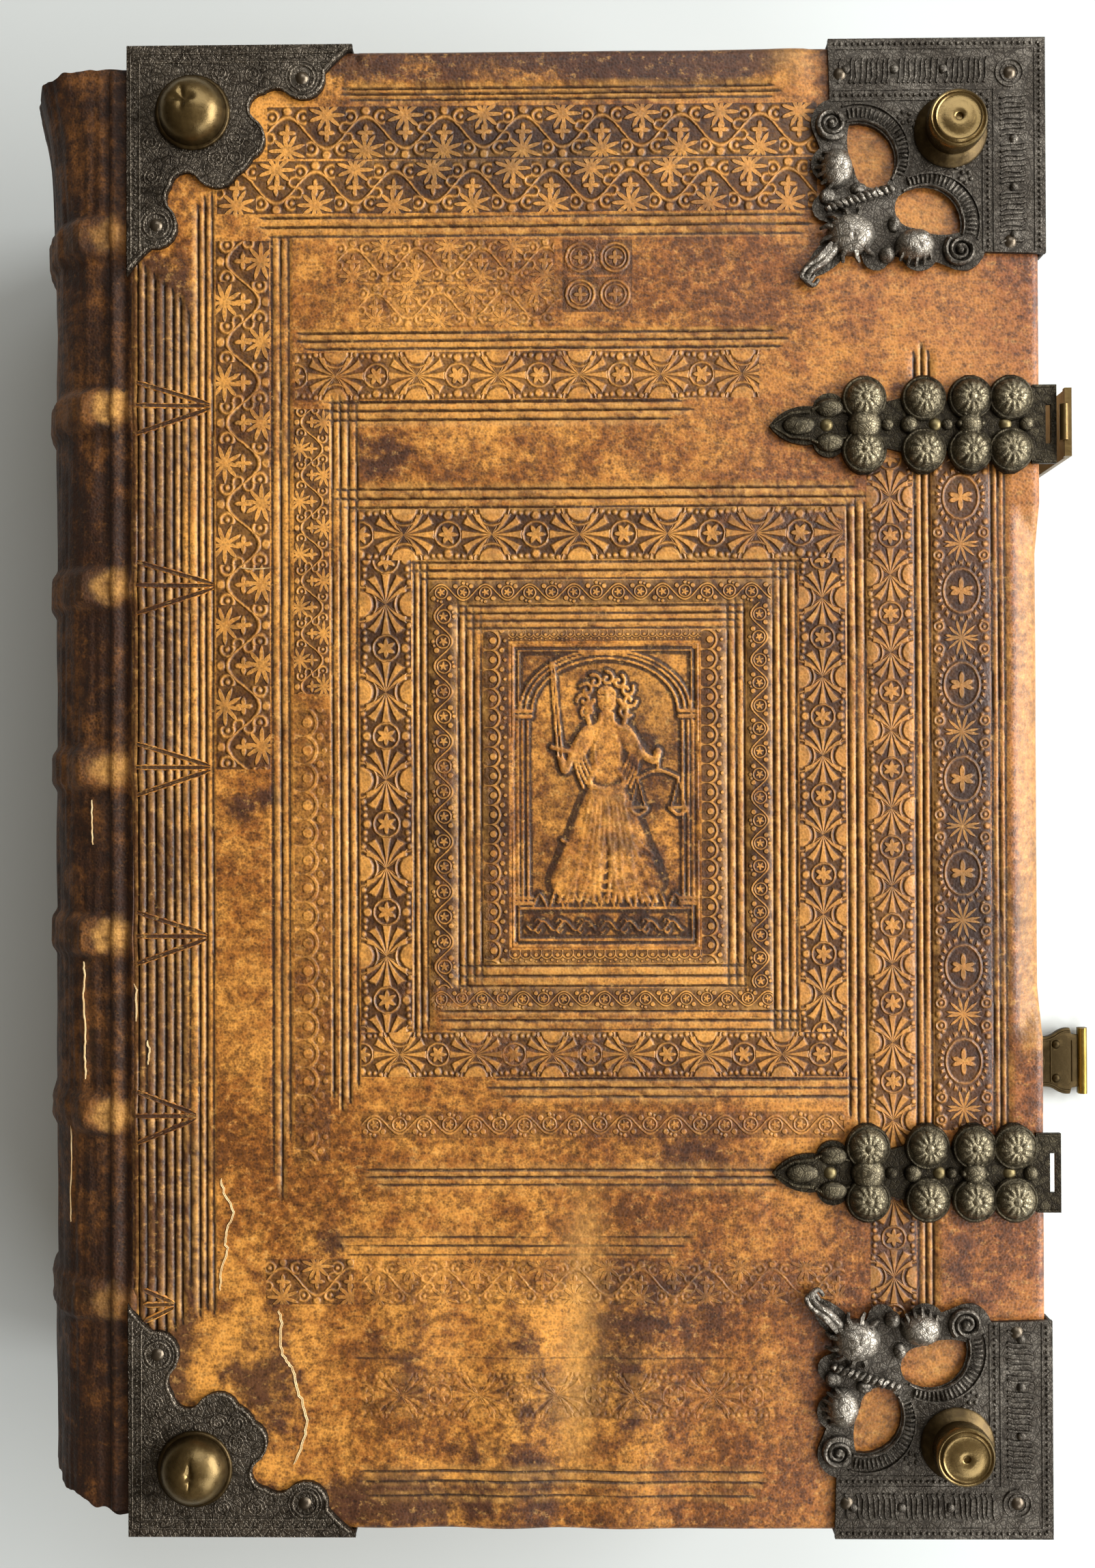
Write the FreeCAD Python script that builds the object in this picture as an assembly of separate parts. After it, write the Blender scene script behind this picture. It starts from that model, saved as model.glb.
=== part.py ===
import FreeCAD, Part
import math
import os

from FreeCAD import Vector

# A large old book bound in blind-tooled leather over wooden boards.
# It lies on its back cover. +X runs from the spine to the fore-edge, +Y to the head
# and +Z up through the front cover. The origin is the middle of the whole footprint,
# on the surface that the back cover's bosses rest on.

# Covers
COVER_W = 243.0          # joint to fore-edge, over the leather
COVER_H = 394.0          # head to tail, over the leather
BOARD_T = 9.0            # wooden board
LEATHER_T = 1.2          # leather on the outer face and the edges
TURN_T = 0.6             # pared leather turned in on the inner face
TURN_IN = 16.0           # width of the turn-ins
BEVEL_W = 7.6            # bevel along the fore-edge, seen from the front
BEVEL_D = 4.2            # the same bevel, seen from the edge
BEVEL_LENGTH = 148.0     # length of the bevel at the fore-edge
BEVEL_MIDDLE = 6.0       # its middle, towards the head
BEVEL_STOP = 6.0         # sloping stop at each end of the bevel

# Text block
BLOCK_T = 72.0           # pressed leaves
GATHERINGS = 32          # sewn gatherings in the block
SQUARE = 7.0             # cover beyond the leaves at head and tail
FORE_SQUARE = 5.0        # cover beyond the leaves at the fore-edge
FORE_HOLLOW = 7.0        # depth of the hollow fore-edge
LEAF_STEP = 0.5          # uneven edges of neighbouring gatherings
PAGE_GAP = 0.3           # between the leaves and each cover

# Spine
JOINT_GAP = 0.6          # between a cover's spine edge and the spine
SPINE_BULGE = 25.0       # round of the spine beyond the joint
SPINE_DROP = 2.4         # spine leather below the covers' outer faces at the joint
SPINE_LEATHER_T = 1.6
LINING_T = 1.0
HEAD_TEAR = 3.0          # leather missing at the head of the spine
TAIL_TEAR = 6.5          # leather missing at the tail of the spine
TEAR_DEPTH = 3.5         # depth of the ragged torn edge
BAND_W = 11.0            # raised band, along the spine
BAND_RISE = 3.0          # raised band above the spine leather
BAND_CHAMFER = 2.0
BANDS = (0.123, 0.241, 0.363, 0.486, 0.600, 0.721, 0.848)   # shares of the height, from the head
CORD_W = 7.0             # double sewing cord under each band
ENDBAND_W = 4.0          # endband, measured in from the spine
ENDBAND_RISE = 3.0       # endband above the leaves
ENDBAND_INSET = 1.0      # endband in from the lining

# Corner plates and bosses
PLATE_T = 1.2            # sheet of every metal plate
FLANGE_D = 5.0           # flange bent down over the cover's edge
SMALL_LEG = 61.0         # spine side corner plate, along each edge
LARGE_LEG = 59.0         # fore-edge corner plate, along each edge
RELIEF_T = 1.0           # raised work on the large plates
DOME_R = 8.9             # round boss
DOME_H = 7.6
DOME_RING_W = 1.2        # flat ring round the foot of a round boss
DOME_RING_H = 1.0
DOME_POS = 17.5          # round boss from both edges
KNOB_R = 7.6             # turned boss
KNOB_H = 9.6
KNOB_FOOT_R = 9.6
KNOB_FOOT_H = 1.6
KNOB_POS = 25.0          # turned boss from both edges
SEAT_GAP = 0.3           # around the foot of a boss or the head of a rivet
REST_BOSS_H = 7.5        # bosses of the back cover
SHANK_R = 1.5            # shank of a boss in the board
SHANK_L = 6.0            # its length below the plate
NAIL_R = 0.8
NAIL_HEAD_R = 1.7
NAIL_HEAD_H = 0.8
NAIL_L = 5.0
PIN_FIT = 0.05           # radial play of every shank, nail and pin

# Catches on the front cover
UPPER_CLASP_FROM_HEAD = 101.5
LOWER_CLASP_FROM_TAIL = 95.0
LOWER_CLASP_SLIP = 11.0   # the open clasp lies this much nearer the head than its catch
CATCH_W = 24.0
CATCH_L = 71.5           # tip of the leaf to the fore-edge
CATCH_END_W = 21.0
WINDOW_L = 10.5          # slot for the hook
WINDOW_W = 1.6
WINDOW_OUT = 0.6         # slot beyond the fore-edge
CATCH_BAR = 1.4          # bar outside the slot
CATCH_DOME_H = 2.0
CATCH_LOBES = (47.0, 31.5, 19.0, 8.4)   # lobed groups, in from the fore-edge
LOBE_R = 6.2

# Clasps
LINK_W = 22.0
LINK_L = 44.0            # pivot to pivot
LINK_T = 1.2
HOOK_W = 18.0
HOOK_LIP = 1.75          # lip of the hook beyond its plate
HOOK_R = 1.1             # rolled end of the hook
HOOK_GAP = 0.35          # around the catch's bar
KNUCKLE_R = 1.9
PIN_R = 0.85
KNUCKLE_L = 9.4          # middle knuckle
KNUCKLE_GAP = 0.3        # end play and swing play at the knuckles
ANCHOR_L = 44.0          # plate under the back cover that carries a clasp

# Tooling on the front cover
FILLET_W = 0.9           # tooled groove
FILLET_D = 0.45
FILLET_PITCH = 4.2       # between the two grooves of a frame
FRAMES = (               # each frame as joint side, fore-edge side, head and tail distances
    (22.0, 14.5, 14.0, 14.0),
    (40.0, 32.0, 78.5, 76.0),
    (57.0, 49.5, 100.0, 96.0),
    (78.0, 68.0, 137.5, 135.0),
    (91.0, 81.0, 150.0, 147.0),
)
PANEL_W = 50.0           # stamped panel in the middle
PANEL_H = 81.0
PANEL_RISE = 0.7
PANEL_RIM = 1.6
FIGURE_H = 81.0          # height of panel that the figure is drawn for

# Places worked out from the sizes
COVER_T = LEATHER_T + BOARD_T + TURN_T
Z_BACK = PLATE_T + REST_BOSS_H
Z_BLOCK = Z_BACK + COVER_T + PAGE_GAP
Z_MIDDLE = Z_BLOCK + BLOCK_T / 2
Z_FRONT = Z_BLOCK + BLOCK_T + PAGE_GAP + COVER_T
PIVOT_OUT = WINDOW_OUT + WINDOW_W + CATCH_BAR + HOOK_GAP + HOOK_LIP + LINK_T / 2
Z_PIVOT = Z_BACK - PLATE_T + KNUCKLE_R
DROOP = math.asin((Z_PIVOT - KNUCKLE_R) / LINK_L)
SPINE_REACH = JOINT_GAP + SPINE_BULGE + BAND_RISE
CLASP_REACH = PIVOT_OUT + LINK_L * math.cos(DROOP) + KNUCKLE_R
X_JOINT = (SPINE_REACH - COVER_W - CLASP_REACH) / 2
X_FORE = X_JOINT + COVER_W
Y_HEAD = COVER_H / 2
X_SPINE = X_JOINT - JOINT_GAP
BLOCK_H = COVER_H - 2 * SQUARE
SPINE_HALF_T = (Z_FRONT - Z_BACK) / 2 - SPINE_DROP
Z_HOOK = Z_FRONT + PLATE_T + HOOK_GAP + HOOK_R
ORIGIN = Vector(0, 0, 0)
ACROSS = Vector(1, 0, 0)
ALONG = Vector(0, 1, 0)
UP = Vector(0, 0, 1)


def box(x0, x1, y0, y1, z0, z1):
    return Part.makeBox(x1 - x0, y1 - y0, z1 - z0, Vector(x0, y0, z0))


def rod(radius, start, axis, length):
    return Part.makeCylinder(radius, length, start, axis)


def fused(shapes):
    return shapes[0].multiFuse(shapes[1:]).removeSplitter()


def outline(start, steps):
    """A flat face: each step is a straight run (x, y) or an arc (mid x, mid y, x, y)."""
    edges = []
    here = Vector(start[0], start[1], 0)
    for step in steps:
        end = Vector(step[-2], step[-1], 0)
        if len(step) == 2:
            edges.append(Part.LineSegment(here, end).toShape())
        else:
            edges.append(Part.Arc(here, Vector(step[0], step[1], 0), end).toShape())
        here = end
    return Part.Face(Part.Wire(edges))


def corner_outline(leg, start, half):
    """A plate's outline, the same on both sides of the corner's diagonal, in shares of its leg."""
    points = [start] + [step[-2:] for step in half]
    steps = list(half)
    for i in reversed(range(len(half))):
        mid = half[i][:-2]
        steps.append(tuple(reversed(mid)) + tuple(reversed(points[i])))
    steps += [(0.0, 0.0), start]
    scaled = [tuple(leg * value for value in step) for step in steps]
    return outline((leg * start[0], leg * start[1]), scaled)


def turned(profile):
    """A turned solid about the Z axis from its half section as (radius, height) points."""
    points = [Vector(r, 0, z) for r, z in profile]
    face = Part.Face(Part.makePolygon(points + [points[0]]))
    return face.revolve(ORIGIN, UP, 360)


def cap(radius, height):
    """A low round bulge that stands on the plane z = 0."""
    ball_r = (radius * radius + height * height) / (2 * height)
    ball = Part.makeSphere(ball_r, Vector(0, 0, height - ball_r))
    return ball.common(box(-radius, radius, -radius, radius, 0, height))


def at(shape, x, y, z):
    return shape.translated(Vector(x, y, z))


def to_corner(shape, spine_side, head_side, front):
    """Place a piece that is drawn at a corner, with +X and +Y running in from both edges."""
    if not spine_side:
        shape = shape.mirror(ORIGIN, ACROSS)
    if head_side:
        shape = shape.mirror(ORIGIN, ALONG)
    if not front:
        shape = shape.mirror(ORIGIN, UP)
    x = X_JOINT if spine_side else X_FORE
    y = Y_HEAD if head_side else -Y_HEAD
    z = Z_FRONT if front else Z_BACK
    return at(shape, x, y, z)


CORNERS = [(spine_side, head_side) for spine_side in (True, False) for head_side in (True, False)]


def corner_name(spine_side, head_side):
    return ("spine" if spine_side else "fore") + "_" + ("head" if head_side else "tail")


# Corner plates, drawn with the corner at the origin and the cover's face at z = 0

def flanges(leg, at_side_edge):
    """Edges of the plate bent down over the cover: at the head or tail, and at the fore-edge."""
    parts = [box(0, leg, -PLATE_T, 0, -FLANGE_D, PLATE_T)]
    if at_side_edge:
        parts.append(box(-PLATE_T, 0, -PLATE_T, leg, -FLANGE_D, PLATE_T))
    return parts


def small_nails():
    near, far = 0.13 * SMALL_LEG, 0.77 * SMALL_LEG
    return [(far, near), (near, far)]


def small_plate():
    """Thin plate with a scalloped inner edge, lobed round its nails and its boss."""
    half = [(0.88, 0.115), (0.785, 0.225, 0.70, 0.185), (0.595, 0.185, 0.565, 0.30),
            (0.60, 0.375, 0.55, 0.45), (0.53, 0.495, 0.50, 0.50)]
    sheet = corner_outline(SMALL_LEG, (0.99, 0.0), half).extrude(UP * PLATE_T)
    rim = [box(2, 0.9 * SMALL_LEG, y, y + 0.7, PLATE_T, PLATE_T + 0.4) for y in (1.2, 3.4)]
    rim += [box(x, x + 0.7, 2, 0.9 * SMALL_LEG, PLATE_T, PLATE_T + 0.4) for x in (1.2, 3.4)]
    return fused([sheet] + rim + flanges(0.99 * SMALL_LEG, False))


def large_nails():
    near, far = 0.14 * LARGE_LEG, 0.90 * LARGE_LEG
    return [(near, near), (far, near), (near, far)]


def large_blank():
    """Outline of the fore-edge plates: a square corner with volutes and a leaf pointing inwards."""
    half = [(0.97, 0.30), (1.06, 0.40, 0.95, 0.49), (1.01, 0.60, 0.92, 0.69),
            (1.00, 0.80, 0.93, 0.87), (1.08, 1.08)]
    return corner_outline(LARGE_LEG, (0.97, 0.0), half).extrude(UP * PLATE_T)


def crescent(swap):
    """One of the two openings through which the leather shows."""
    def flip(points):
        return [tuple(reversed(p)) if swap else p for p in points]

    a, mid_out, b, mid_in = flip([(0.76, 0.42), (0.89, 0.52), (0.72, 0.68), (0.745, 0.55)])
    k = LARGE_LEG
    face = outline((k * a[0], k * a[1]), [(k * mid_out[0], k * mid_out[1], k * b[0], k * b[1]),
                                          (k * mid_in[0], k * mid_in[1], k * a[0], k * a[1])])
    return face.extrude(UP * 3 * PLATE_T).translated(UP * -PLATE_T)


def large_plate(with_relief):
    k = LARGE_LEG
    pieces = [large_blank()] + flanges(0.97 * k, True)
    if with_relief:
        for near, far in ((1.0, 1.9), (13.4, 14.6), (16.0, 17.2)):
            pieces.append(box(far, 0.95 * k, near, far, PLATE_T, PLATE_T + 0.5))
            pieces.append(box(near, far, near, 0.95 * k, PLATE_T, PLATE_T + 0.5))
        for u, v in ((0.97, 0.39), (0.39, 0.97)):
            volute = rod(0.072 * k, ORIGIN, UP, PLATE_T + 1.7 * RELIEF_T)
            eye = rod(0.034 * k, UP * PLATE_T, UP, 3 * RELIEF_T)
            pieces.append(at(volute.cut(eye), k * u, k * v, 0))
            pieces.append(at(cap(0.024 * k, 1.2 * RELIEF_T), k * u, k * v, PLATE_T))
        for u, v, r, rise in ((0.945, 0.57, 0.085, 4.2), (0.57, 0.945, 0.085, 4.2),
                              (0.90, 0.78, 0.062, 2.8), (0.78, 0.90, 0.062, 2.8),
                              (0.89, 0.89, 0.07, 3.4), (1.0, 1.0, 0.035, 1.6)):
            pieces.append(at(cap(r * k, rise), k * u, k * v, PLATE_T))
        ridge = outline((0.62 * k, 0.62 * k), [(0.67 * k, 0.61 * k), (0.85 * k, 0.82 * k),
                                               (0.82 * k, 0.85 * k), (0.61 * k, 0.67 * k),
                                               (0.62 * k, 0.62 * k)])
        pieces.append(at(ridge.extrude(UP * 2 * RELIEF_T), 0, 0, PLATE_T))
        pieces += scroll_bands()
    plate = fused(pieces)
    return plate.cut(crescent(False)).cut(crescent(True))


def scroll_bands():
    """Raised bands that curl from each volute to the middle of the plate."""
    k = LARGE_LEG
    bands = []
    for swap in (False, True):
        points = [(0.97, 0.30), (0.76, 0.34), (0.63, 0.56), (0.58, 0.53), (0.72, 0.27), (0.97, 0.24)]
        points = [tuple(k * v for v in (reversed(p) if swap else p)) for p in points]
        face = outline(points[0], [points[1] + points[2], points[3],
                                   points[4] + points[5], points[0]])
        bands.append(at(face.extrude(UP * 1.2 * RELIEF_T), 0, 0, PLATE_T))
    return bands


def shanked(head, radius, length):
    return head.fuse(rod(radius, UP * (PLATE_T - length), UP, length)).removeSplitter()


def dome_boss():
    """Round boss on a flat ring, with its shank."""
    foot = rod(DOME_R + DOME_RING_W, UP * PLATE_T, UP, DOME_RING_H)
    return shanked(at(cap(DOME_R, DOME_H), 0, 0, PLATE_T).fuse(foot), SHANK_R, SHANK_L)


def knob_boss():
    """Turned boss with a flared foot, a rim groove and a centre dimple, with its shank."""
    top = PLATE_T + KNOB_H
    foot_top = PLATE_T + KNOB_FOOT_H
    rim = 1.4
    profile = [(0, PLATE_T), (KNOB_FOOT_R, PLATE_T), (KNOB_FOOT_R, foot_top - 0.6),
               (KNOB_R - 0.6, foot_top + 1.2), (KNOB_R, foot_top + 2.4), (KNOB_R, top - 0.7),
               (KNOB_R - 0.7, top), (KNOB_R - rim, top), (KNOB_R - rim - 0.3, top - 0.4),
               (KNOB_R - rim - 0.9, top), (1.0, top), (0, top - 0.8)]
    return shanked(turned(profile), SHANK_R, SHANK_L)


def rest_boss():
    """Plain boss of the back cover with a flat worn end that the book stands on."""
    end = REST_BOSS_H
    foot_r, foot_top = DOME_R + DOME_RING_W, PLATE_T + DOME_RING_H
    profile = [(0, PLATE_T), (foot_r, PLATE_T), (foot_r, foot_top),
               (DOME_R, foot_top + 0.4), (DOME_R - 0.8, 0.62 * end + PLATE_T),
               (DOME_R - 3.2, end + PLATE_T), (0, end + PLATE_T)]
    return shanked(turned(profile), SHANK_R, SHANK_L)


def nail():
    return shanked(at(cap(NAIL_HEAD_R, NAIL_HEAD_H), 0, 0, PLATE_T), NAIL_R, NAIL_L)


def boss_place(spine_side):
    return DOME_POS if spine_side else KNOB_POS


def nail_places(spine_side):
    return small_nails() if spine_side else large_nails()


def boss_seat(spine_side):
    """Room for the boss's foot in the plate's raised work."""
    place = boss_place(spine_side)
    radius = max(KNOB_FOOT_R, DOME_R + DOME_RING_W) + SEAT_GAP
    return at(rod(radius, UP * PLATE_T, UP, DOME_H), place, place, 0)


def corner_holes(spine_side):
    """Holes for the boss and the nails, through plate and leather into the board."""
    place = boss_place(spine_side)
    tools = [at(rod(SHANK_R + PIN_FIT, UP * (PLATE_T - SHANK_L), UP, SHANK_L), place, place, 0)]
    for u, v in nail_places(spine_side):
        hole = rod(NAIL_R + PIN_FIT, UP * (PLATE_T - NAIL_L), UP, NAIL_L)
        tools.append(at(hole, u, v, 0))
    return Part.makeCompound(tools)


# Covers, drawn in place

def bevel_wedge(inset):
    """What the bevel takes off a front cover's fore-edge, inset from the leather's face."""
    x_out, z_out = X_FORE - inset, Z_FRONT - inset
    y0 = BEVEL_MIDDLE - BEVEL_LENGTH / 2
    y1 = BEVEL_MIDDLE + BEVEL_LENGTH / 2
    low, top, inner = z_out - BEVEL_D, z_out + 1, x_out - BEVEL_W
    out = x_out + 1
    slope = BEVEL_D / BEVEL_W
    a0, a1 = Vector(inner, y0 + BEVEL_STOP, z_out), Vector(inner, y1 - BEVEL_STOP, z_out)
    b0, b1 = Vector(out, y0, low - slope), Vector(out, y1, low - slope)
    c0, c1 = Vector(out, y0, top), Vector(out, y1, top)
    d0, d1 = Vector(inner, y0 + BEVEL_STOP, top), Vector(inner, y1 - BEVEL_STOP, top)
    faces = [(a0, a1, b1, b0), (b0, b1, c1, c0), (c0, c1, d1, d0), (d0, d1, a1, a0),
             (a0, b0, c0, d0), (a1, d1, c1, b1)]
    shell = Part.Shell([Part.Face(Part.makePolygon(list(f) + [f[0]])) for f in faces])
    return Part.Solid(shell)


def cover_parts(front):
    """Board, leather and pastedown of one cover as plain blocks, before bevels and holes."""
    z_out = Z_FRONT if front else Z_BACK
    inward = -1 if front else 1

    def slab(inset, turn, depth0, depth1):
        z0, z1 = sorted((z_out + inward * depth0, z_out + inward * depth1))
        edge = inset + turn
        return box(X_JOINT + edge, X_FORE - edge, -Y_HEAD + edge, Y_HEAD - edge, z0, z1)

    board = slab(LEATHER_T, 0, LEATHER_T, LEATHER_T + BOARD_T)
    pastedown = slab(0, TURN_IN, LEATHER_T + BOARD_T, COVER_T)
    leather = slab(0, 0, 0, COVER_T).cut(board).cut(pastedown)
    return board, leather, pastedown


def frame_ring(x0, x1, y0, y1, width, z0, z1):
    outer = box(x0, x1, y0, y1, z0, z1)
    return outer.cut(box(x0 + width, x1 - width, y0 + width, y1 - width, z0, z1))


def fillet_grooves():
    """Nested frames of paired grooves on the front cover's face."""
    tools = []
    for joint_side, fore_side, head, tail in FRAMES:
        for shift in (0, FILLET_PITCH):
            tools.append(frame_ring(X_JOINT + joint_side + shift, X_FORE - fore_side - shift,
                                    -Y_HEAD + tail + shift, Y_HEAD - head - shift,
                                    FILLET_W, Z_FRONT - FILLET_D, Z_FRONT + FILLET_D))
    return Part.makeCompound(tools)


def panel_relief():
    """Stamped panel: rim, arch on two columns, a standing draped figure and a blank tablet."""
    joint_side, fore_side, head, tail = FRAMES[-1]
    x = (X_JOINT + joint_side + X_FORE - fore_side) / 2
    y = (tail - head) / 2
    half_w, half_h = PANEL_W / 2, PANEL_H / 2
    z0, z1 = Z_FRONT - 0.2, Z_FRONT + PANEL_RISE
    base = -half_h + 0.14 * PANEL_H
    spring = 0.26 * PANEL_H
    pieces = [frame_ring(-half_w, half_w, -half_h, half_h, PANEL_RIM, 0, 1)]
    pieces.append(box(-half_w, half_w, base - PANEL_RIM / 2, base + PANEL_RIM / 2, 0, 1))
    for side in (-1, 1):
        inner, outer = sorted((side * (half_w - 5.4), side * (half_w - 3.2)))
        pieces.append(box(inner, outer, base, spring, 0, 1))
        pieces.append(box(inner - 0.9, outer + 0.9, spring - 1.2, spring + 1.2, 0, 1))
    arch_r = half_w - 3.4
    arch = rod(arch_r, ORIGIN, UP, 1).cut(rod(arch_r - 1.6, ORIGIN, UP, 1))
    pieces.append(at(arch.common(box(-half_w, half_w, 0, half_h, 0, 1)), 0, spring, 0))
    grow = FreeCAD.Matrix()
    grow.scale(PANEL_H / FIGURE_H, PANEL_H / FIGURE_H, 1)
    pieces.append(at(figure().transformGeometry(grow), 0, base, 0))
    relief = fused(pieces)
    stretch = FreeCAD.Matrix()
    stretch.scale(1, 1, z1 - z0)
    return at(relief.transformGeometry(stretch), x, y, z0)


def figure():
    """Draped standing figure in plain outline, with sword and scales, its foot at y = 0."""
    head_y, waist_y, beam_y, pan_y = 49.2, 26.2, 36.2, 25.2
    robe = outline((-4.5, head_y - 6), [(0, head_y - 4.6, 4.5, head_y - 6),
                                        (7.0, head_y - 16), (5.0, waist_y),
                                        (12.0, 0), (-13.0, 0), (-5.5, waist_y),
                                        (-7.0, head_y - 16), (-4.5, head_y - 6)])
    parts = [robe.extrude(UP), rod(3.6, Vector(0, head_y, 0), UP, 1)]
    parts.append(box(-11.2, -9.8, waist_y, head_y + 10, 0, 1))
    parts.append(box(-13.4, -6.0, waist_y + 7, waist_y + 8.4, 0, 1))
    parts.append(box(6.0, 18.0, beam_y - 1.4, beam_y, 0, 1))
    for pan in (10.5, 17.0):
        parts.append(box(pan - 0.3, pan + 0.3, pan_y, beam_y, 0, 1))
        parts.append(rod(2.4, Vector(pan, pan_y, 0), UP, 1))
    return fused(parts)


# Spine, as rings of one round section

def spine_disc(offset, y0, y1):
    """Half of the spine's oval section, grown by an offset and drawn out along the spine."""
    half_t, bulge = SPINE_HALF_T + offset, SPINE_BULGE + offset
    tip = Vector(X_SPINE, y0, Z_MIDDLE + half_t)
    side = Vector(X_SPINE - bulge, y0, Z_MIDDLE)
    middle = Vector(X_SPINE, y0, Z_MIDDLE)
    oval = Part.Ellipse(tip, side, middle).toShape()
    solid = Part.Face(Part.Wire(oval)).extrude(Vector(0, y1 - y0, 0))
    return solid.common(box(X_SPINE - bulge - 1, X_SPINE, y0, y1, Z_BACK + 1.6, Z_FRONT - 1.6))


def spine_ring(inner, outer, y0, y1):
    return spine_disc(outer, y0, y1).cut(spine_disc(inner, y0, y1))


def band_centres():
    return [Y_HEAD - share * COVER_H for share in BANDS]


def band_bump(y):
    """One raised band, its outer corners taken off."""
    low, high = y - BAND_W / 2, y + BAND_W / 2
    wide = spine_disc(BAND_RISE - BAND_CHAMFER, low, high)
    narrow = spine_disc(BAND_RISE, low + BAND_CHAMFER, high - BAND_CHAMFER)
    middle = spine_disc(BAND_RISE - 0.3 * BAND_CHAMFER, low + 0.35 * BAND_CHAMFER,
                        high - 0.35 * BAND_CHAMFER)
    return fused([wide, middle, narrow])


def torn_edge(y_end, direction):
    """Ragged waste beyond the torn end of the spine leather, seen from the front."""
    reach = SPINE_BULGE + BAND_RISE + 4
    shares = ((0.0, 0.2), (0.12, 0.9), (0.3, 0.55), (0.42, 1.0), (0.6, 0.75), (0.75, 0.4),
              (0.88, 0.65), (1.0, 0.0))
    edge = [(X_JOINT + 1 - reach * s, y_end - direction * TEAR_DEPTH * t) for s, t in shares]
    far = y_end + direction * 30
    steps = edge[1:] + [(edge[-1][0], far), (edge[0][0], far), edge[0]]
    waste = outline(edge[0], steps).extrude(UP * (Z_FRONT - Z_BACK))
    return at(waste, 0, 0, Z_BACK)


def make_spine():
    """Leather with its raised bands, the lining, the sewing cords and the endbands."""
    head, tail = Y_HEAD - HEAD_TEAR, -Y_HEAD + TAIL_TEAR
    leather = spine_disc(0, tail, head)
    leather = fused([leather] + [band_bump(y) for y in band_centres()])
    leather = leather.cut(spine_disc(-SPINE_LEATHER_T, tail, head))
    cord_rise = BAND_RISE - SPINE_LEATHER_T
    cords = [spine_ring(-SPINE_LEATHER_T, cord_rise, y - CORD_W / 2, y + CORD_W / 2)
             for y in band_centres()]
    leather = leather.cut(Part.makeCompound(cords))
    leather = leather.cut(torn_edge(head, 1)).cut(torn_edge(tail, -1))
    nodes = {"spine_leather": leather}
    inner = -SPINE_LEATHER_T - LINING_T
    nodes["spine_lining"] = spine_ring(inner, -SPINE_LEATHER_T, -BLOCK_H / 2, BLOCK_H / 2)
    for number, cord in enumerate(cords, 1):
        nodes["sewing_cord_%d" % number] = cord
    for name, sign in (("head_endband", 1), ("tail_endband", -1)):
        y0, y1 = sorted((sign * BLOCK_H / 2, sign * (BLOCK_H / 2 + ENDBAND_RISE)))
        nodes[name] = spine_ring(inner - ENDBAND_INSET - ENDBAND_W, inner - ENDBAND_INSET, y0, y1)
    return nodes


def make_text_block():
    """The sewn gatherings as one solid, rounded at the spine and hollow at the fore-edge."""
    inner = -SPINE_LEATHER_T - LINING_T
    slabs = [spine_disc(inner, -BLOCK_H / 2, BLOCK_H / 2)]
    thick = BLOCK_T / GATHERINGS
    for i in range(GATHERINGS):
        across = 2 * (i + 0.5) / GATHERINGS - 1
        uneven = LEAF_STEP * (i % 2) + 0.3 * LEAF_STEP * (i % 3)
        fore = X_FORE - FORE_SQUARE - FORE_HOLLOW * (1 - across * across) - uneven
        half_h = BLOCK_H / 2 - 0.6 * uneven
        z0 = Z_BLOCK + i * thick
        slabs.append(box(X_SPINE, fore, -half_h, half_h, z0, z0 + thick))
    return fused(slabs)


# Catches and clasps, drawn at y = 0 and moved along the fore-edge

def catch_centres():
    return [Y_HEAD - UPPER_CLASP_FROM_HEAD, LOWER_CLASP_FROM_TAIL - Y_HEAD]


def clasp_centres():
    upper, lower = catch_centres()
    return [upper, lower + LOWER_CLASP_SLIP]


LEAF_L = CATCH_L - CATCH_LOBES[0]


def catch_rivets():
    return [CATCH_LOBES[0] + 0.41 * LEAF_L, CATCH_LOBES[1] - 0.5 * LOBE_R,
            CATCH_LOBES[3] + 0.25 * LOBE_R]


def leaf():
    """Leaf of a catch as a flat face: its tip, two side leaves and its root at the first lobes."""
    def point(along, across):
        return X_FORE - CATCH_LOBES[0] - along * LEAF_L, across * LOBE_R

    return outline(point(1, 0), [
        point(0.735, 0.90) + point(0.51, 0.80), point(0.41, 1.38) + point(0.245, 0.97),
        point(0, 0.80), point(0, -0.80), point(0.245, -0.97),
        point(0.41, -1.38) + point(0.51, -0.80), point(0.735, -0.90) + point(1, 0)])


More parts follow.
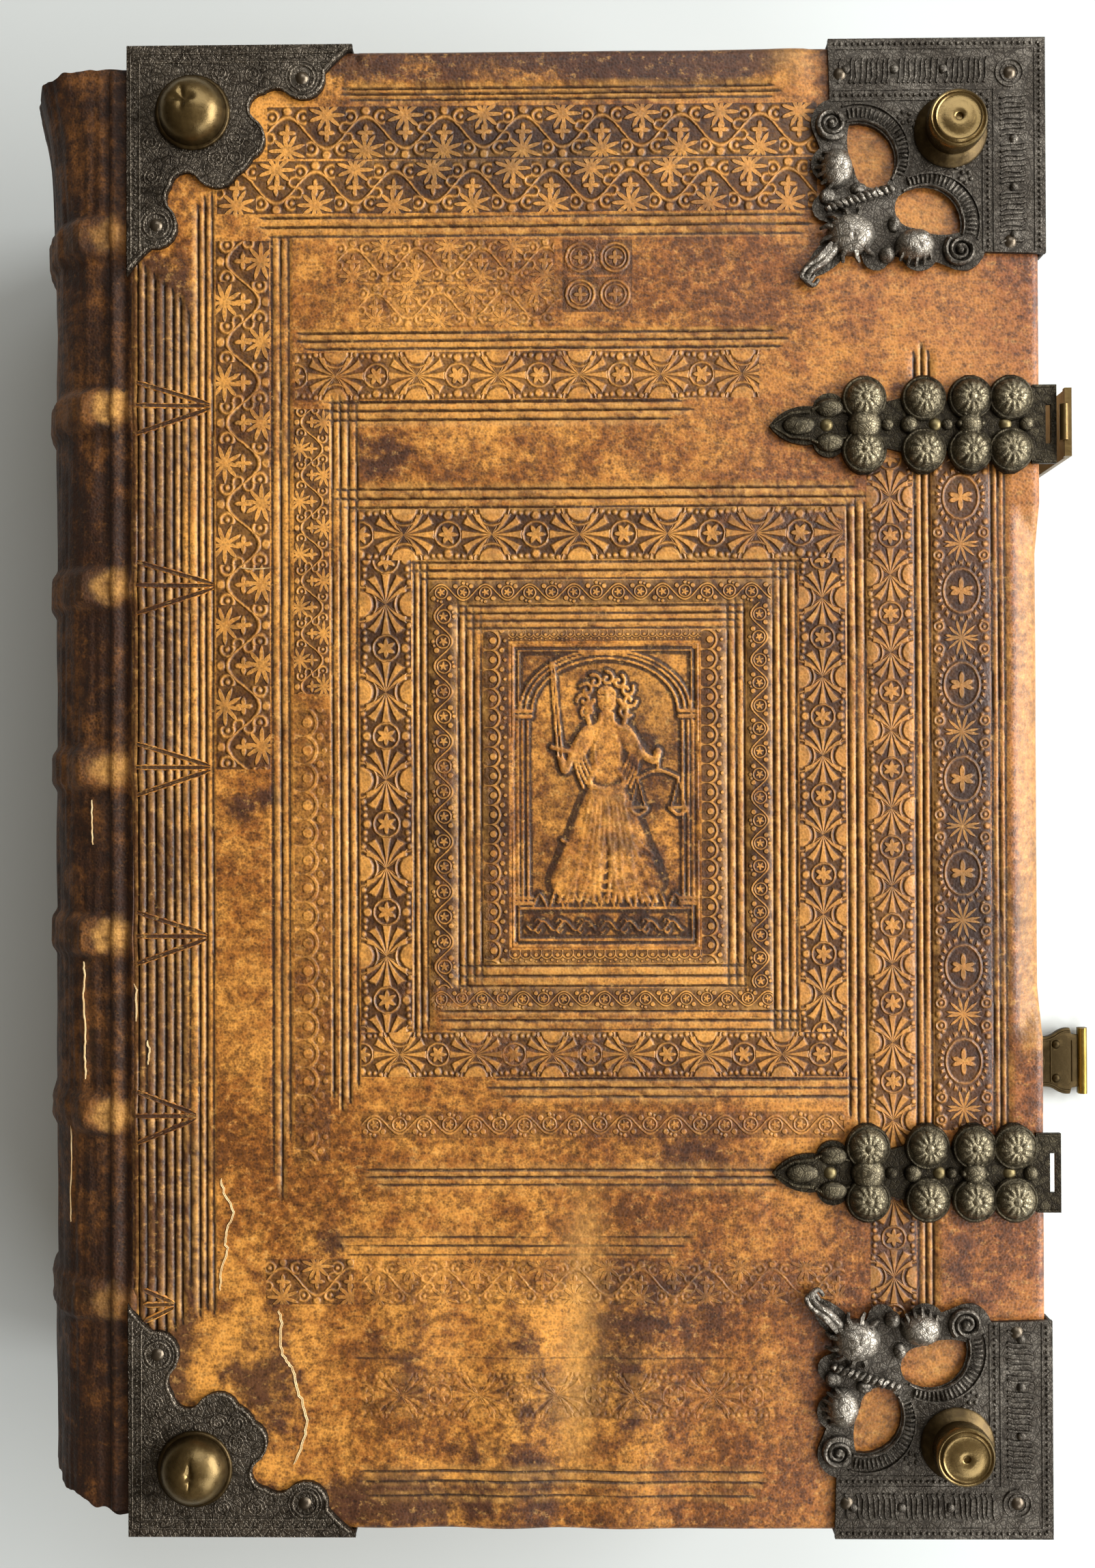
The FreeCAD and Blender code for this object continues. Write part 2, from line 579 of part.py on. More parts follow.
def catch_plate():
    """Lobed plate with domes, a leaf at one end and a slotted end over the fore-edge."""
    z = Z_FRONT
    half_w = CATCH_W / 2
    end = WINDOW_OUT + WINDOW_W + CATCH_BAR
    pieces = [at(leaf().extrude(UP * PLATE_T), 0, 0, z)]
    pieces.append(box(X_FORE - CATCH_LOBES[0], X_FORE, -5.2, 5.2, z, z + PLATE_T))
    pieces.append(box(X_FORE - 5.0, X_FORE + end, -CATCH_END_W / 2, CATCH_END_W / 2, z, z + PLATE_T))
    for x_in in CATCH_LOBES:
        x = X_FORE - x_in
        for side in (-1, 1):
            y = side * (half_w - LOBE_R)
            pieces.append(rod(LOBE_R, Vector(x, y, z), UP, PLATE_T))
            pieces.append(at(cap(LOBE_R - 1.0, CATCH_DOME_H), x, y * 1.1, z + PLATE_T))
        pieces.append(box(x - 4.6, x + 4.6, -half_w + LOBE_R, half_w - LOBE_R, z, z + PLATE_T))
    for x_in, radius in ((CATCH_LOBES[0], 3.6), (CATCH_LOBES[1] + 0.6 * LOBE_R, 1.8),
                         (CATCH_LOBES[2], 3.0), (CATCH_LOBES[3] - 0.66 * LOBE_R, 1.9)):
        pieces.append(at(cap(radius, 0.35 * radius), X_FORE - x_in, 0, z + PLATE_T))
    pieces.append(at(cap(3.2, 1.4), X_FORE - CATCH_L + 0.31 * LEAF_L, 0, z + PLATE_T))
    plate = fused(pieces)
    slot_x = X_FORE + WINDOW_OUT
    cuts = [box(slot_x, slot_x + WINDOW_W, -WINDOW_L / 2, WINDOW_L / 2, z - 1, z + PLATE_T + 1)]
    for x_in in catch_rivets():
        seat = rod(NAIL_HEAD_R + SEAT_GAP, UP * (z + PLATE_T), UP, CATCH_DOME_H)
        cuts.append(at(seat, X_FORE - x_in, 0, 0))
    return plate.cut(Part.makeCompound(cuts))


def knuckle(x, z, y0, y1):
    return rod(KNUCKLE_R, Vector(x, y0, z), ALONG, y1 - y0)


def pin_bore(x, z):
    return rod(PIN_R + PIN_FIT, Vector(x, -LINK_W, z), ALONG, 2 * LINK_W)


def hinge_pin(x, z):
    return rod(PIN_R, Vector(x, -LINK_W / 2, z), ALONG, LINK_W)


def link():
    """Upright clasp link: its middle knuckle below, two outer knuckles above."""
    x = X_FORE + PIVOT_OUT
    z0, z1 = Z_PIVOT, Z_PIVOT + LINK_L
    half_t, half_w, half_k = LINK_T / 2, LINK_W / 2, KNUCKLE_L / 2
    clear = KNUCKLE_R + KNUCKLE_GAP
    outer_end = half_k + KNUCKLE_GAP
    waist = half_w - 3.0
    face = outline((z0 + clear, -half_w), [
        (z0 + 8.0, -half_w), ((z0 + z1) / 2, -waist, z1 - 8.0, -half_w), (z1 - clear, -half_w),
        (z1 - clear, half_w), (z1 - 8.0, half_w), ((z0 + z1) / 2, waist, z0 + 8.0, half_w),
        (z0 + clear, half_w), (z0 + clear, -half_w)])
    plate = face.extrude(UP * LINK_T)
    plate.rotate(ORIGIN, ALONG, -90)
    pieces = [at(plate, x + half_t, 0, 0)]
    pieces.append(box(x - half_t, x + half_t, -half_k, half_k, z0, z0 + clear + 1))
    pieces.append(knuckle(x, z0, -half_k, half_k))
    for side in (-1, 1):
        y0, y1 = sorted((side * outer_end, side * half_w))
        pieces.append(box(x - half_t, x + half_t, y0, y1, z1 - clear - 1, z1))
        pieces.append(knuckle(x, z1, y0, y1))
    for share, radius in ((0.28, 4.4), (0.5, 5.2), (0.72, 4.4)):
        stud = cap(radius, 1.2)
        stud.rotate(ORIGIN, ALONG, 90)
        pieces.append(at(stud, x + half_t, 0, z0 + share * LINK_L))
    return fused(pieces).cut(pin_bore(x, z0)).cut(pin_bore(x, z1))


def hook():
    """Upper link: a middle knuckle below and a rolled lip above that passes over the catch's bar."""
    x = X_FORE + PIVOT_OUT
    z0 = Z_PIVOT + LINK_L
    half_t, half_w, half_k = LINK_T / 2, HOOK_W / 2, KNUCKLE_L / 2
    clear = KNUCKLE_R + KNUCKLE_GAP
    lip_x = x - half_t - HOOK_LIP + HOOK_R
    pieces = [box(x - half_t, x + half_t, -half_w, half_w, z0 + clear, Z_HOOK - HOOK_R)]
    pieces.append(box(x - half_t, x + half_t, -half_k, half_k, z0, z0 + clear + 1))
    pieces.append(knuckle(x, z0, -half_k, half_k))
    lip_half = WINDOW_L / 2 - 0.5
    pieces.append(box(lip_x, x + half_t, -half_w, half_w, Z_HOOK - HOOK_R, Z_HOOK + HOOK_R - 0.6))
    pieces.append(rod(HOOK_R, Vector(lip_x, -lip_half, Z_HOOK), ALONG, 2 * lip_half))
    for share in (0.3, 0.62):
        stud = cap(5.0, 1.2)
        stud.rotate(ORIGIN, ALONG, 90)
        pieces.append(at(stud, x + half_t, 0, z0 + share * (Z_HOOK - z0)))
    return fused(pieces).cut(pin_bore(x, z0))


def anchor_rivets():
    return [ANCHOR_L - 6.0, 10.0]


def anchor_plate():
    """Plate under the back cover that ends in the two outer knuckles of a clasp's hinge."""
    x = X_FORE + PIVOT_OUT
    half_w, half_k = LINK_W / 2, KNUCKLE_L / 2
    z0, z1 = Z_BACK - PLATE_T, Z_BACK
    tip = X_FORE - ANCHOR_L
    face = outline((tip, 0), [(tip + 3, 6.5, tip + 9, 7.5), (X_FORE - 14, 7.5),
                              (X_FORE - 9, 8.0, X_FORE - 7, half_w), (X_FORE + 1, half_w),
                              (X_FORE + 1, -half_w), (X_FORE - 7, -half_w),
                              (X_FORE - 9, -8.0, X_FORE - 14, -7.5), (tip + 9, -7.5),
                              (tip + 3, -6.5, tip, 0)])
    pieces = [at(face.extrude(UP * PLATE_T), 0, 0, z0)]
    for side in (-1, 1):
        y0, y1 = sorted((side * (half_k + KNUCKLE_GAP), side * half_w))
        pieces.append(box(X_FORE, x, y0, y1, z0, z1))
        pieces.append(knuckle(x, Z_PIVOT, y0, y1))
    return fused(pieces).cut(pin_bore(x, Z_PIVOT))


def opened(shape):
    """Lay a clasp link out from the book until its end rests on the table."""
    laid = shape.copy()
    pivot = Vector(X_FORE + PIVOT_OUT, 0, Z_PIVOT)
    laid.rotate(pivot, ALONG, 90 + math.degrees(DROOP))
    return laid


def front_rivet_tools(rivets, y):
    return [at(rod(NAIL_R + PIN_FIT, UP * (PLATE_T - NAIL_L), UP, NAIL_L), X_FORE - x, y, Z_FRONT)
            for x in rivets]


def back_rivet_tools(rivets, y):
    return [at(rod(NAIL_R + PIN_FIT, UP * -PLATE_T, UP, NAIL_L), X_FORE - x, y, Z_BACK)
            for x in rivets]


# Whole covers

def make_corners(front):
    """Corner plates, their bosses and nails, and the holes that they need."""
    side = "front" if front else "back"
    nodes, holes, nails = {}, [], []
    for spine_side, head_side in CORNERS:
        name = corner_name(spine_side, head_side)
        plate = small_plate() if spine_side else large_plate(front)
        tools = corner_holes(spine_side)
        if front:
            boss = dome_boss() if spine_side else knob_boss()
        else:
            boss = rest_boss()
        place = boss_place(spine_side)
        plate = plate.cut(boss_seat(spine_side)).cut(tools)
        nodes[side + "_" + name + "_plate"] = to_corner(plate, spine_side, head_side, front)
        nodes[side + "_" + name + "_boss"] = to_corner(at(boss, place, place, 0),
                                                       spine_side, head_side, front)
        for u, v in nail_places(spine_side):
            nails.append(to_corner(at(nail(), u, v, 0), spine_side, head_side, front))
        holes.append(to_corner(tools, spine_side, head_side, front))
    nodes[side + "_corner_nails"] = Part.makeCompound(nails)
    return nodes, holes


def make_front():
    board, leather, pastedown = cover_parts(True)
    nodes, holes = make_corners(True)
    names = ("upper", "lower")
    for name, y in zip(names, catch_centres()):
        tools = front_rivet_tools(catch_rivets(), y)
        plate = at(catch_plate(), 0, y, 0)
        nodes[name + "_catch_plate"] = plate.cut(Part.makeCompound(tools))
        rivets = [at(nail(), X_FORE - x, y, Z_FRONT) for x in catch_rivets()]
        nodes[name + "_catch_rivets"] = Part.makeCompound(rivets)
        holes += tools
    board = board.cut(bevel_wedge(LEATHER_T))
    leather = leather.cut(bevel_wedge(0)).cut(fillet_grooves()).fuse(panel_relief())
    leather = leather.removeSplitter()
    drill = Part.makeCompound(holes)
    nodes["front_board"] = board.cut(drill)
    nodes["front_leather"] = leather.cut(drill)
    nodes["front_pastedown"] = pastedown
    return nodes


def make_back():
    board, leather, pastedown = cover_parts(False)
    nodes, holes = make_corners(False)
    pivot_x = X_FORE + PIVOT_OUT
    names = ("upper", "lower")
    for name, y in zip(names, clasp_centres()):
        tools = back_rivet_tools(anchor_rivets(), y)
        plate = at(anchor_plate(), 0, y, 0)
        nodes[name + "_clasp_anchor"] = plate.cut(Part.makeCompound(tools))
        rivets = [at(nail().mirror(ORIGIN, UP), X_FORE - x, y, Z_BACK) for x in anchor_rivets()]
        nodes[name + "_anchor_rivets"] = Part.makeCompound(rivets)
        nodes[name + "_clasp_pin"] = at(hinge_pin(pivot_x, Z_PIVOT), 0, y, 0)
        holes += tools
    drill = Part.makeCompound(holes)
    nodes["back_board"] = board.cut(drill)
    nodes["back_leather"] = leather.cut(drill)
    nodes["back_pastedown"] = pastedown
    return nodes


def make_clasps():
    """The whole upper clasp, and the lower one that has lost its hook and lies open."""
    upper, lower = clasp_centres()
    pivot_x, z_mid = X_FORE + PIVOT_OUT, Z_PIVOT + LINK_L
    return {
        "upper_clasp_link": at(link(), 0, upper, 0),
        "upper_middle_pin": at(hinge_pin(pivot_x, z_mid), 0, upper, 0),
        "upper_clasp_hook": at(hook(), 0, upper, 0),
        "lower_clasp_link": at(opened(link()), 0, lower, 0),
        "lower_bare_pin": at(opened(hinge_pin(pivot_x, z_mid)), 0, lower, 0),
    }


def main():
    os.makedirs("parts", exist_ok=True)
    nodes = {"text_block": make_text_block()}
    nodes.update(make_spine())
    nodes.update(make_front())
    nodes.update(make_back())
    nodes.update(make_clasps())
    for name, shape in nodes.items():
        shape.exportStep("parts/" + name + ".step")
        box_now = shape.BoundBox
        print(name, shape.isValid(), len(shape.Solids), round(shape.Volume, 1),
              [round(v, 2) for v in (box_now.XMin, box_now.XMax, box_now.YMin, box_now.YMax,
                                     box_now.ZMin, box_now.ZMax)])
    print("joint line x", round(X_JOINT, 3), "front z", round(Z_FRONT, 3), "back z", round(Z_BACK, 3))
    print("clasp pivot x", round(X_FORE + PIVOT_OUT, 3), "z", round(Z_PIVOT, 3),
          "middle z", round(Z_PIVOT + LINK_L, 3), "droop", round(math.degrees(DROOP), 3))


main()
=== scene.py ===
import math
import random

import bmesh
import bpy
import numpy as np
from mathutils import Matrix, Vector, noise


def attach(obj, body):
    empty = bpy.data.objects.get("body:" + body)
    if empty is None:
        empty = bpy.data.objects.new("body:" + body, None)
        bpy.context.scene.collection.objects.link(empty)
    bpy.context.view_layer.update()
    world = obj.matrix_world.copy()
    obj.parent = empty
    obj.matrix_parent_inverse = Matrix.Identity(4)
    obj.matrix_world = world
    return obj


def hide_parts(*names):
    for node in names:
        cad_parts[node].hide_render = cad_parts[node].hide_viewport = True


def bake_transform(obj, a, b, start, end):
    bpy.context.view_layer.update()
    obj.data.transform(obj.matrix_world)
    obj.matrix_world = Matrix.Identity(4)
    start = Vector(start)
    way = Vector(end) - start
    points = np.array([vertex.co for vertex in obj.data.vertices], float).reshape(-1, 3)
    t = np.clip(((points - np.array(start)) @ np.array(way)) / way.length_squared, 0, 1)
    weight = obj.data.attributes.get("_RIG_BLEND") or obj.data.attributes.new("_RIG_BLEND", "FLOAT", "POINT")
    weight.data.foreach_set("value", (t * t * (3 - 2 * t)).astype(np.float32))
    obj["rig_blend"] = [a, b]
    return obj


# An old folio in tooled calf over boards, lying on its back cover. +X runs from the spine to the
# fore-edge, +Y to the head and +Z up. Forms are drawn in mm and scaled to metres when finished.
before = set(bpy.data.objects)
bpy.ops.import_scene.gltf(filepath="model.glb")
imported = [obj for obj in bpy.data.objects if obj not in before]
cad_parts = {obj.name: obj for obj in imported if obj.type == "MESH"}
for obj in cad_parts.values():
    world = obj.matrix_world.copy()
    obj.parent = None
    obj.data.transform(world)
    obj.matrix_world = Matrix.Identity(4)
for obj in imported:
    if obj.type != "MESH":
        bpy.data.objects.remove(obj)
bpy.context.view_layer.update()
dice = random.Random(7)

# Places of the covers in the frame, in mm
JOINT, FORE = -132.978, 110.022
HEAD, TAIL = 197.0, -197.0
COVER_W, COVER_H = FORE - JOINT, HEAD - TAIL
FACE, INNER = 102.9, 92.1
BACK_FACE = 8.7
MIDDLE = 55.8
PLATE_T = 1.2
SPINE_X = JOINT - 0.6
CLASP_PIVOT = (116.322, -91.0, 9.4)
CLASP_DROOP = math.radians(9.814)
BARE_BAR = (155.2, 2.75)

# Grooved lines of the tooling: place, start and end, in mm from the joint and from the head
DOWN_LINES = [
    (2.6, 56, 345, 1.5), (4.8, 58, 345, 1.5), (7.3, 60, 344, 1.5), (9.8, 62, 342, 1.5),
    (12.2, 64, 340, 1.5), (14.2, 66, 338, 1.5), (0.6, 60, 340, 1.4), (16.4, 70, 330, 0.8),
    (18.9, 42, 336, 1.3), (20.8, 40, 334, 1.4), (22.7, 38, 336, 0.8), (38.7, 50, 300, 0.7),
    (40.9, 50, 305, 0.9), (43.1, 50, 290, 0.7), (54.7, 93, 279, 1.0), (56.8, 93, 282, 1.2),
    (59.0, 94, 280, 1.2), (61.2, 94, 276, 0.9), (76.4, 137, 262, 1.1), (78.1, 137, 262, 1.3),
    (79.9, 137, 261, 0.9), (88.2, 148, 250, 1.1), (90.2, 148, 250, 1.2), (92.2, 150, 248, 1.1),
    (94.2, 150, 248, 0.8), (159.7, 148, 250, 1.0), (161.9, 148, 250, 1.0), (164.1, 148, 250, 1.0),
    (171.8, 137, 262, 1.1), (173.8, 137, 262, 1.1), (175.8, 137, 262, 1.0), (177.8, 137, 262, 0.8),
    (191.6, 122, 284, 1.1), (193.8, 121, 286, 1.1), (196.1, 122, 286, 0.9), (209.5, 82, 342, 0.9),
    (211.4, 80, 344, 1.1), (213.3, 82, 342, 0.9), (229.7, 108, 288, 0.8), (231.4, 106, 290, 0.8),
    (233.1, 108, 288, 0.7),
]
ACROSS_LINES = [
    (10.4, 58, 172, 1.0), (11.9, 58, 174, 1.0), (13.4, 60, 172, 0.8), (29.1, 60, 176, 0.4),
    (44.9, 36, 180, 0.9), (47.4, 36, 182, 0.9), (49.9, 38, 180, 0.7), (75.8, 46, 172, 0.9),
    (77.9, 46, 176, 0.9), (80.0, 48, 174, 0.8), (94.3, 54, 148, 1.0), (96.6, 54, 150, 1.2),
    (99.0, 54, 144, 1.0), (117.5, 56, 193, 1.1), (120.0, 56, 196, 1.2), (122.4, 58, 194, 0.9),
    (137.1, 76, 178, 1.1), (139.3, 76, 178, 1.1), (141.5, 78, 176, 0.8), (148.7, 88, 164, 1.1),
    (150.7, 88, 164, 1.1), (152.7, 90, 163, 1.0), (154.7, 90, 163, 0.7), (244.4, 88, 164, 1.0),
    (247.1, 88, 164, 1.0), (249.8, 88, 164, 0.9), (256.4, 84, 178, 0.9), (258.9, 84, 178, 1.0),
    (261.4, 86, 178, 0.8), (274.5, 98, 194, 0.9), (276.8, 96, 194, 1.0), (279.1, 100, 192, 0.8),
    (298.5, 64, 172, 0.8), (300.4, 64, 174, 0.9), (302.4, 66, 172, 0.6), (316.2, 56, 150, 0.5),
    (318.5, 56, 148, 0.6), (320.9, 58, 146, 0.4), (348.2, 60, 160, 0.3), (378.2, 62, 168, 0.8),
    (380.9, 62, 168, 0.8), (384.6, 64, 166, 0.6),
]
GROOVE_HALF, GROOVE_DEPTH = 0.60, 0.55

# Rolls and stamps: ornament, left, right, top and bottom edge, strength
ROLLS = [
    ("foliage", 37.5, 184.0, 15.2, 29.2, 0.95), ("foliage", 24.0, 184.0, 29.8, 43.8, 0.95),
    ("circles", 116.2, 134.8, 51.4, 60.7, 0.8), ("circles", 116.2, 134.8, 61.3, 70.6, 0.8),
    ("foliage", 56.0, 114.0, 51.0, 62.4, 0.5), ("foliage", 62.0, 114.0, 63.0, 74.4, 0.4),
    ("palmette", 44.7, 168.4, 81.0, 93.6, 0.8), ("foliage", 23.6, 38.0, 51.0, 192.0, 0.9),
    ("foliage", 44.4, 53.8, 96.0, 172.0, 0.9), ("palmette", 62.0, 190.8, 122.9, 136.5, 1.0),
    ("palmette", 62.0, 75.6, 136.5, 262.0, 1.0), ("palmette", 178.6, 190.8, 136.5, 262.0, 1.0),
    ("palmette", 62.0, 190.8, 262.0, 273.8, 0.9), ("scroll", 80.6, 171.2, 142.0, 148.2, 1.0),
    ("scroll", 80.6, 87.6, 148.2, 250.3, 1.0), ("scroll", 164.8, 171.2, 148.2, 250.3, 1.0),
    ("scroll", 80.6, 171.2, 250.3, 256.0, 0.9), ("scallop", 94.9, 101.5, 155.4, 243.8, 0.9),
    ("scallop", 152.6, 159.1, 155.4, 243.8, 0.9), ("scallop", 101.5, 152.6, 155.4, 158.2, 0.8),
    ("scallop", 101.5, 152.6, 240.2, 243.8, 0.8), ("palmette", 196.8, 208.8, 110.0, 342.0, 0.9),
    ("medallion", 214.0, 229.0, 108.0, 288.0, 0.95), ("foliage", 36.5, 60.0, 322.0, 334.0, 0.7),
    ("foliage", 62.0, 190.0, 322.4, 334.0, 0.35), ("scroll", 62.0, 190.0, 283.0, 290.0, 0.5),
    ("scallop", 44.4, 53.8, 176.0, 296.0, 0.45), ("palmette", 62.0, 170.0, 352.0, 364.0, 0.3),
]
PANEL = (102.2, 152.0, 158.8, 239.6)

# Bevel of the fore-edge: where it starts, its two ends, its depth and the length of its stops
BEVEL = (235.4, 121.8, 264.0)
BEVEL_DEPTH, BEVEL_STOP = 4.2, 12.987
BANDS = (48.5, 95.0, 143.0, 191.5, 236.4, 284.1, 334.1)

# Dark stains on the front cover, and painted shade in some of them towards the tail, about 100 to 136 mm from
# the joint: centre, half widths, strength
STAINS_AND_SHADE = [
    (29.8, 202.4, 5, 4, 0.9), (38.0, 200.0, 4, 3, 0.8), (152.0, 332.0, 12, 16, 0.5),
    (148.0, 294.0, 20, 9, 0.6), (68.0, 108.0, 12, 7, 0.6), (150.0, 4.0, 26, 6, 0.7),
    (60.0, 4.0, 8, 5, 0.7), (84.0, 209.0, 10, 5, 0.7), (100.0, 206.0, 8, 5, 0.5),
    (47.0, 150.0, 6, 10, 0.6), (44.0, 110.0, 5, 22, 0.5), (66.0, 160.0, 7, 8, 0.6),
    (93.0, 372.0, 8, 4, 0.5), (128.0, 336.0, 10, 22, 0.45), (54.0, 318.0, 7, 5, 0.8),
    (160.0, 6.0, 7, 6, 0.8), (27.0, 170.0, 6, 14, 0.5), (90.0, 30.0, 30, 10, 0.35),
    (70.0, 385.0, 16, 6, 0.7), (228.0, 220.0, 12, 60, 0.4), (220.0, 330.0, 16, 24, 0.4),
    (8.0, 312.0, 12, 24, 1.0), (8.0, 255.0, 10, 22, 0.7), (110.0, 380.0, 20, 5, 0.4),
    (110.0, 2.0, 60, 7, 0.6), (70.0, 24.0, 40, 16, 0.4), (130.0, 26.0, 50, 14, 0.35),
    (30.0, 350.0, 20, 26, 0.55), (75.0, 345.0, 14, 30, 0.5), (104.0, 350.0, 9, 34, 0.5),
    (136.0, 355.0, 8, 30, 0.45), (60.0, 386.0, 50, 7, 0.6), (100.0, 130.0, 34, 8, 0.35),
    (70.0, 190.0, 5, 60, 0.3), (150.0, 255.0, 30, 8, 0.35), (180.0, 170.0, 8, 50, 0.35),
    (118.0, 358.0, 14, 16, 0.5), (38.0, 356.0, 10, 18, 0.4), (12.0, 76.0, 16, 20, 0.6),
    (203.0, 200.0, 6, 80, 0.5), (222.0, 180.0, 7, 70, 0.5), (187.0, 310.0, 10, 30, 0.4),
    (206.0, 95.0, 14, 16, 0.4),
]


def linear(code):
    """Red, green, blue and alpha of a hex colour, without its display curve."""
    values = [int(code[i:i + 2], 16) / 255 for i in (1, 3, 5)]
    return tuple(v / 12.92 if v < 0.04045 else ((v + 0.055) / 1.055) ** 2.4 for v in values) + (1.0,)


def put(tree, kind, inputs=None, **settings):
    """Add a node with its settings. An input is a value, a node, a socket or a sum such as
    ("ADD", a, 0.5), which stands for the math node of that name."""
    made = tree.nodes.new(kind)
    for name, value in settings.items():
        setattr(made, name, value)
    for key, value in (inputs or {}).items():
        if isinstance(value, tuple) and isinstance(value[0], str):
            value = put(tree, "ShaderNodeMath", dict(enumerate(value[1:])), operation=value[0])
        if isinstance(value, bpy.types.Node):
            value = value.outputs[0]
        if isinstance(value, bpy.types.NodeSocket):
            tree.links.new(value, made.inputs[key])
        else:
            made.inputs[key].default_value = value
    return made


def start_material(name):
    """An empty material, its node tree, its main shader and the place on the object."""
    material = bpy.data.materials.new(name)
    material.use_nodes = True
    tree = material.node_tree
    tree.nodes.clear()
    shader = put(tree, "ShaderNodeBsdfPrincipled")
    put(tree, "ShaderNodeOutputMaterial", {"Surface": shader})
    place = put(tree, "ShaderNodeTexCoord").outputs["Object"]
    return material, tree, shader, place


# Ornament of the rolls, as distances in widths of the strip: below zero is raised leather

def union(parts):
    """The nearest of several forms."""
    total = parts[0]
    for part in parts[1:]:
        total = ("MINIMUM", total, part)
    return total


def dot(tree, spot, x, y, radius):
    """A round bead."""
    away = put(tree, "ShaderNodeVectorMath", {0: spot, 1: (x, y, 0.0)}, operation="DISTANCE")
    return ("SUBTRACT", away.outputs["Value"], radius)


def ring(tree, spot, x, y, radius, half):
    """A round line, twice as wide as half."""
    return ("SUBTRACT", ("ABSOLUTE", dot(tree, spot, x, y, radius)), half)


def burst(tree, across, along, size, petals, deep, squash):
    """A flower or fan: petals round one point, squashed towards the sides of the strip."""
    angle = put(tree, "ShaderNodeMath", {0: across, 1: along}, operation="ARCTAN2")
    reach = ("SQRT", ("ADD", ("MULTIPLY", across, across), ("MULTIPLY", along, along)))
    lobes = ("MULTIPLY_ADD", ("COSINE", ("MULTIPLY", angle, float(petals))), deep, 1.0 - deep)
    narrow = ("SUBTRACT", 1.0, ("MULTIPLY", ("ABSOLUTE", ("SINE", angle)), squash))
    return ("SUBTRACT", reach, ("MULTIPLY", ("MULTIPLY", lobes, narrow), size))


def palmette(tree, along, across, half_tile):
    """Two fans of curved petals back to back, half moons at their waist, a rosette between."""
    side = put(tree, "ShaderNodeMath", {0: along}, operation="ABSOLUTE")
    up = put(tree, "ShaderNodeMath", {0: across}, operation="ABSOLUTE")
    spot = put(tree, "ShaderNodeCombineXYZ", {0: side, 1: up})
    far = put(tree, "ShaderNodeMath", {0: side, 1: half_tile}, operation="SUBTRACT")
    reach = put(tree, "ShaderNodeVectorMath", {0: spot}, operation="LENGTH").outputs["Value"]
    angle = put(tree, "ShaderNodeMath", {0: across, 1: side}, operation="ARCTAN2")
    bent = ("MULTIPLY", angle, ("SUBTRACT", 1.25, ("MULTIPLY", reach, 0.7)))
    ripple = ("COSINE", ("MULTIPLY", bent, 15.0))
    petal = ("SUBTRACT", -0.012, ("MULTIPLY", ripple, ("MULTIPLY", reach, 0.11)))
    fan = ("MAXIMUM", petal, ("MAXIMUM", ("SUBTRACT", reach, 0.60), ("SUBTRACT", up, 0.40)))
    fan = ("MAXIMUM", fan, ("MULTIPLY", ("SUBTRACT", ("ABSOLUTE", angle), 1.05), 0.3))
    return union([fan, dot(tree, spot, 0.0, 0.52, 0.26), ring(tree, spot, 0.0, 0.52, 0.34, 0.02),
                  burst(tree, up, far, 0.19, 6, 0.22, 0), ring(tree, spot, half_tile, 0.0, 0.25, 0.018),
                  dot(tree, spot, half_tile, 0.38, 0.08), dot(tree, spot, half_tile - 0.17, 0.42, 0.045),
                  dot(tree, spot, 0.42, 0.455, 0.05), dot(tree, spot, 0.56, 0.42, 0.035)])


def scroll(tree, along, across, half_tile):
    """A running scroll with a flower in each turn."""
    turn = ("MULTIPLY", along, math.pi / half_tile)
    sign = put(tree, "ShaderNodeMath", {0: ("SINE", turn)}, operation="SIGN")
    up = put(tree, "ShaderNodeMath", {0: across, 1: sign}, operation="MULTIPLY")
    side = put(tree, "ShaderNodeMath", {0: ("ABSOLUTE", along), 1: half_tile / 2},
               operation="SUBTRACT")
    spot = put(tree, "ShaderNodeCombineXYZ", {0: side, 1: up})
    stem = ("SUBTRACT", ("ABSOLUTE", ("ADD", up, ("MULTIPLY", ("COSINE", (
        "MULTIPLY", side, math.pi / half_tile)), -0.34))), 0.045)
    return union([stem, burst(tree, up, side, 0.17, 5, 0.25, 0), ring(tree, spot, 0.0, -0.02, 0.25, 0.03),
                  dot(tree, spot, 0.34, -0.26, 0.10), dot(tree, spot, -0.34, -0.26, 0.10),
                  dot(tree, spot, 0.0, -0.40, 0.07), dot(tree, spot, 0.16, -0.36, 0.05)])


def scallop(tree, along, across, half_tile):
    """Small leaves under arches along one edge."""
    side = put(tree, "ShaderNodeMath", {0: along}, operation="ABSOLUTE")
    spot = put(tree, "ShaderNodeCombineXYZ", {0: side, 1: across})
    return union([ring(tree, spot, 0.0, -0.30, 0.42, 0.05), dot(tree, spot, 0.0, -0.14, 0.14),
                  dot(tree, spot, half_tile, 0.22, 0.10), dot(tree, spot, 0.0, 0.34, 0.07)])


def circles(tree, along, across, half_tile):
    """Round stamps, each a double ring with a flower."""
    spot = put(tree, "ShaderNodeCombineXYZ", {0: along, 1: across})
    return union([ring(tree, spot, 0, 0, 0.40, 0.035), ring(tree, spot, 0, 0, 0.29, 0.02),
                  burst(tree, across, along, 0.2, 4, 0.3, 0)])


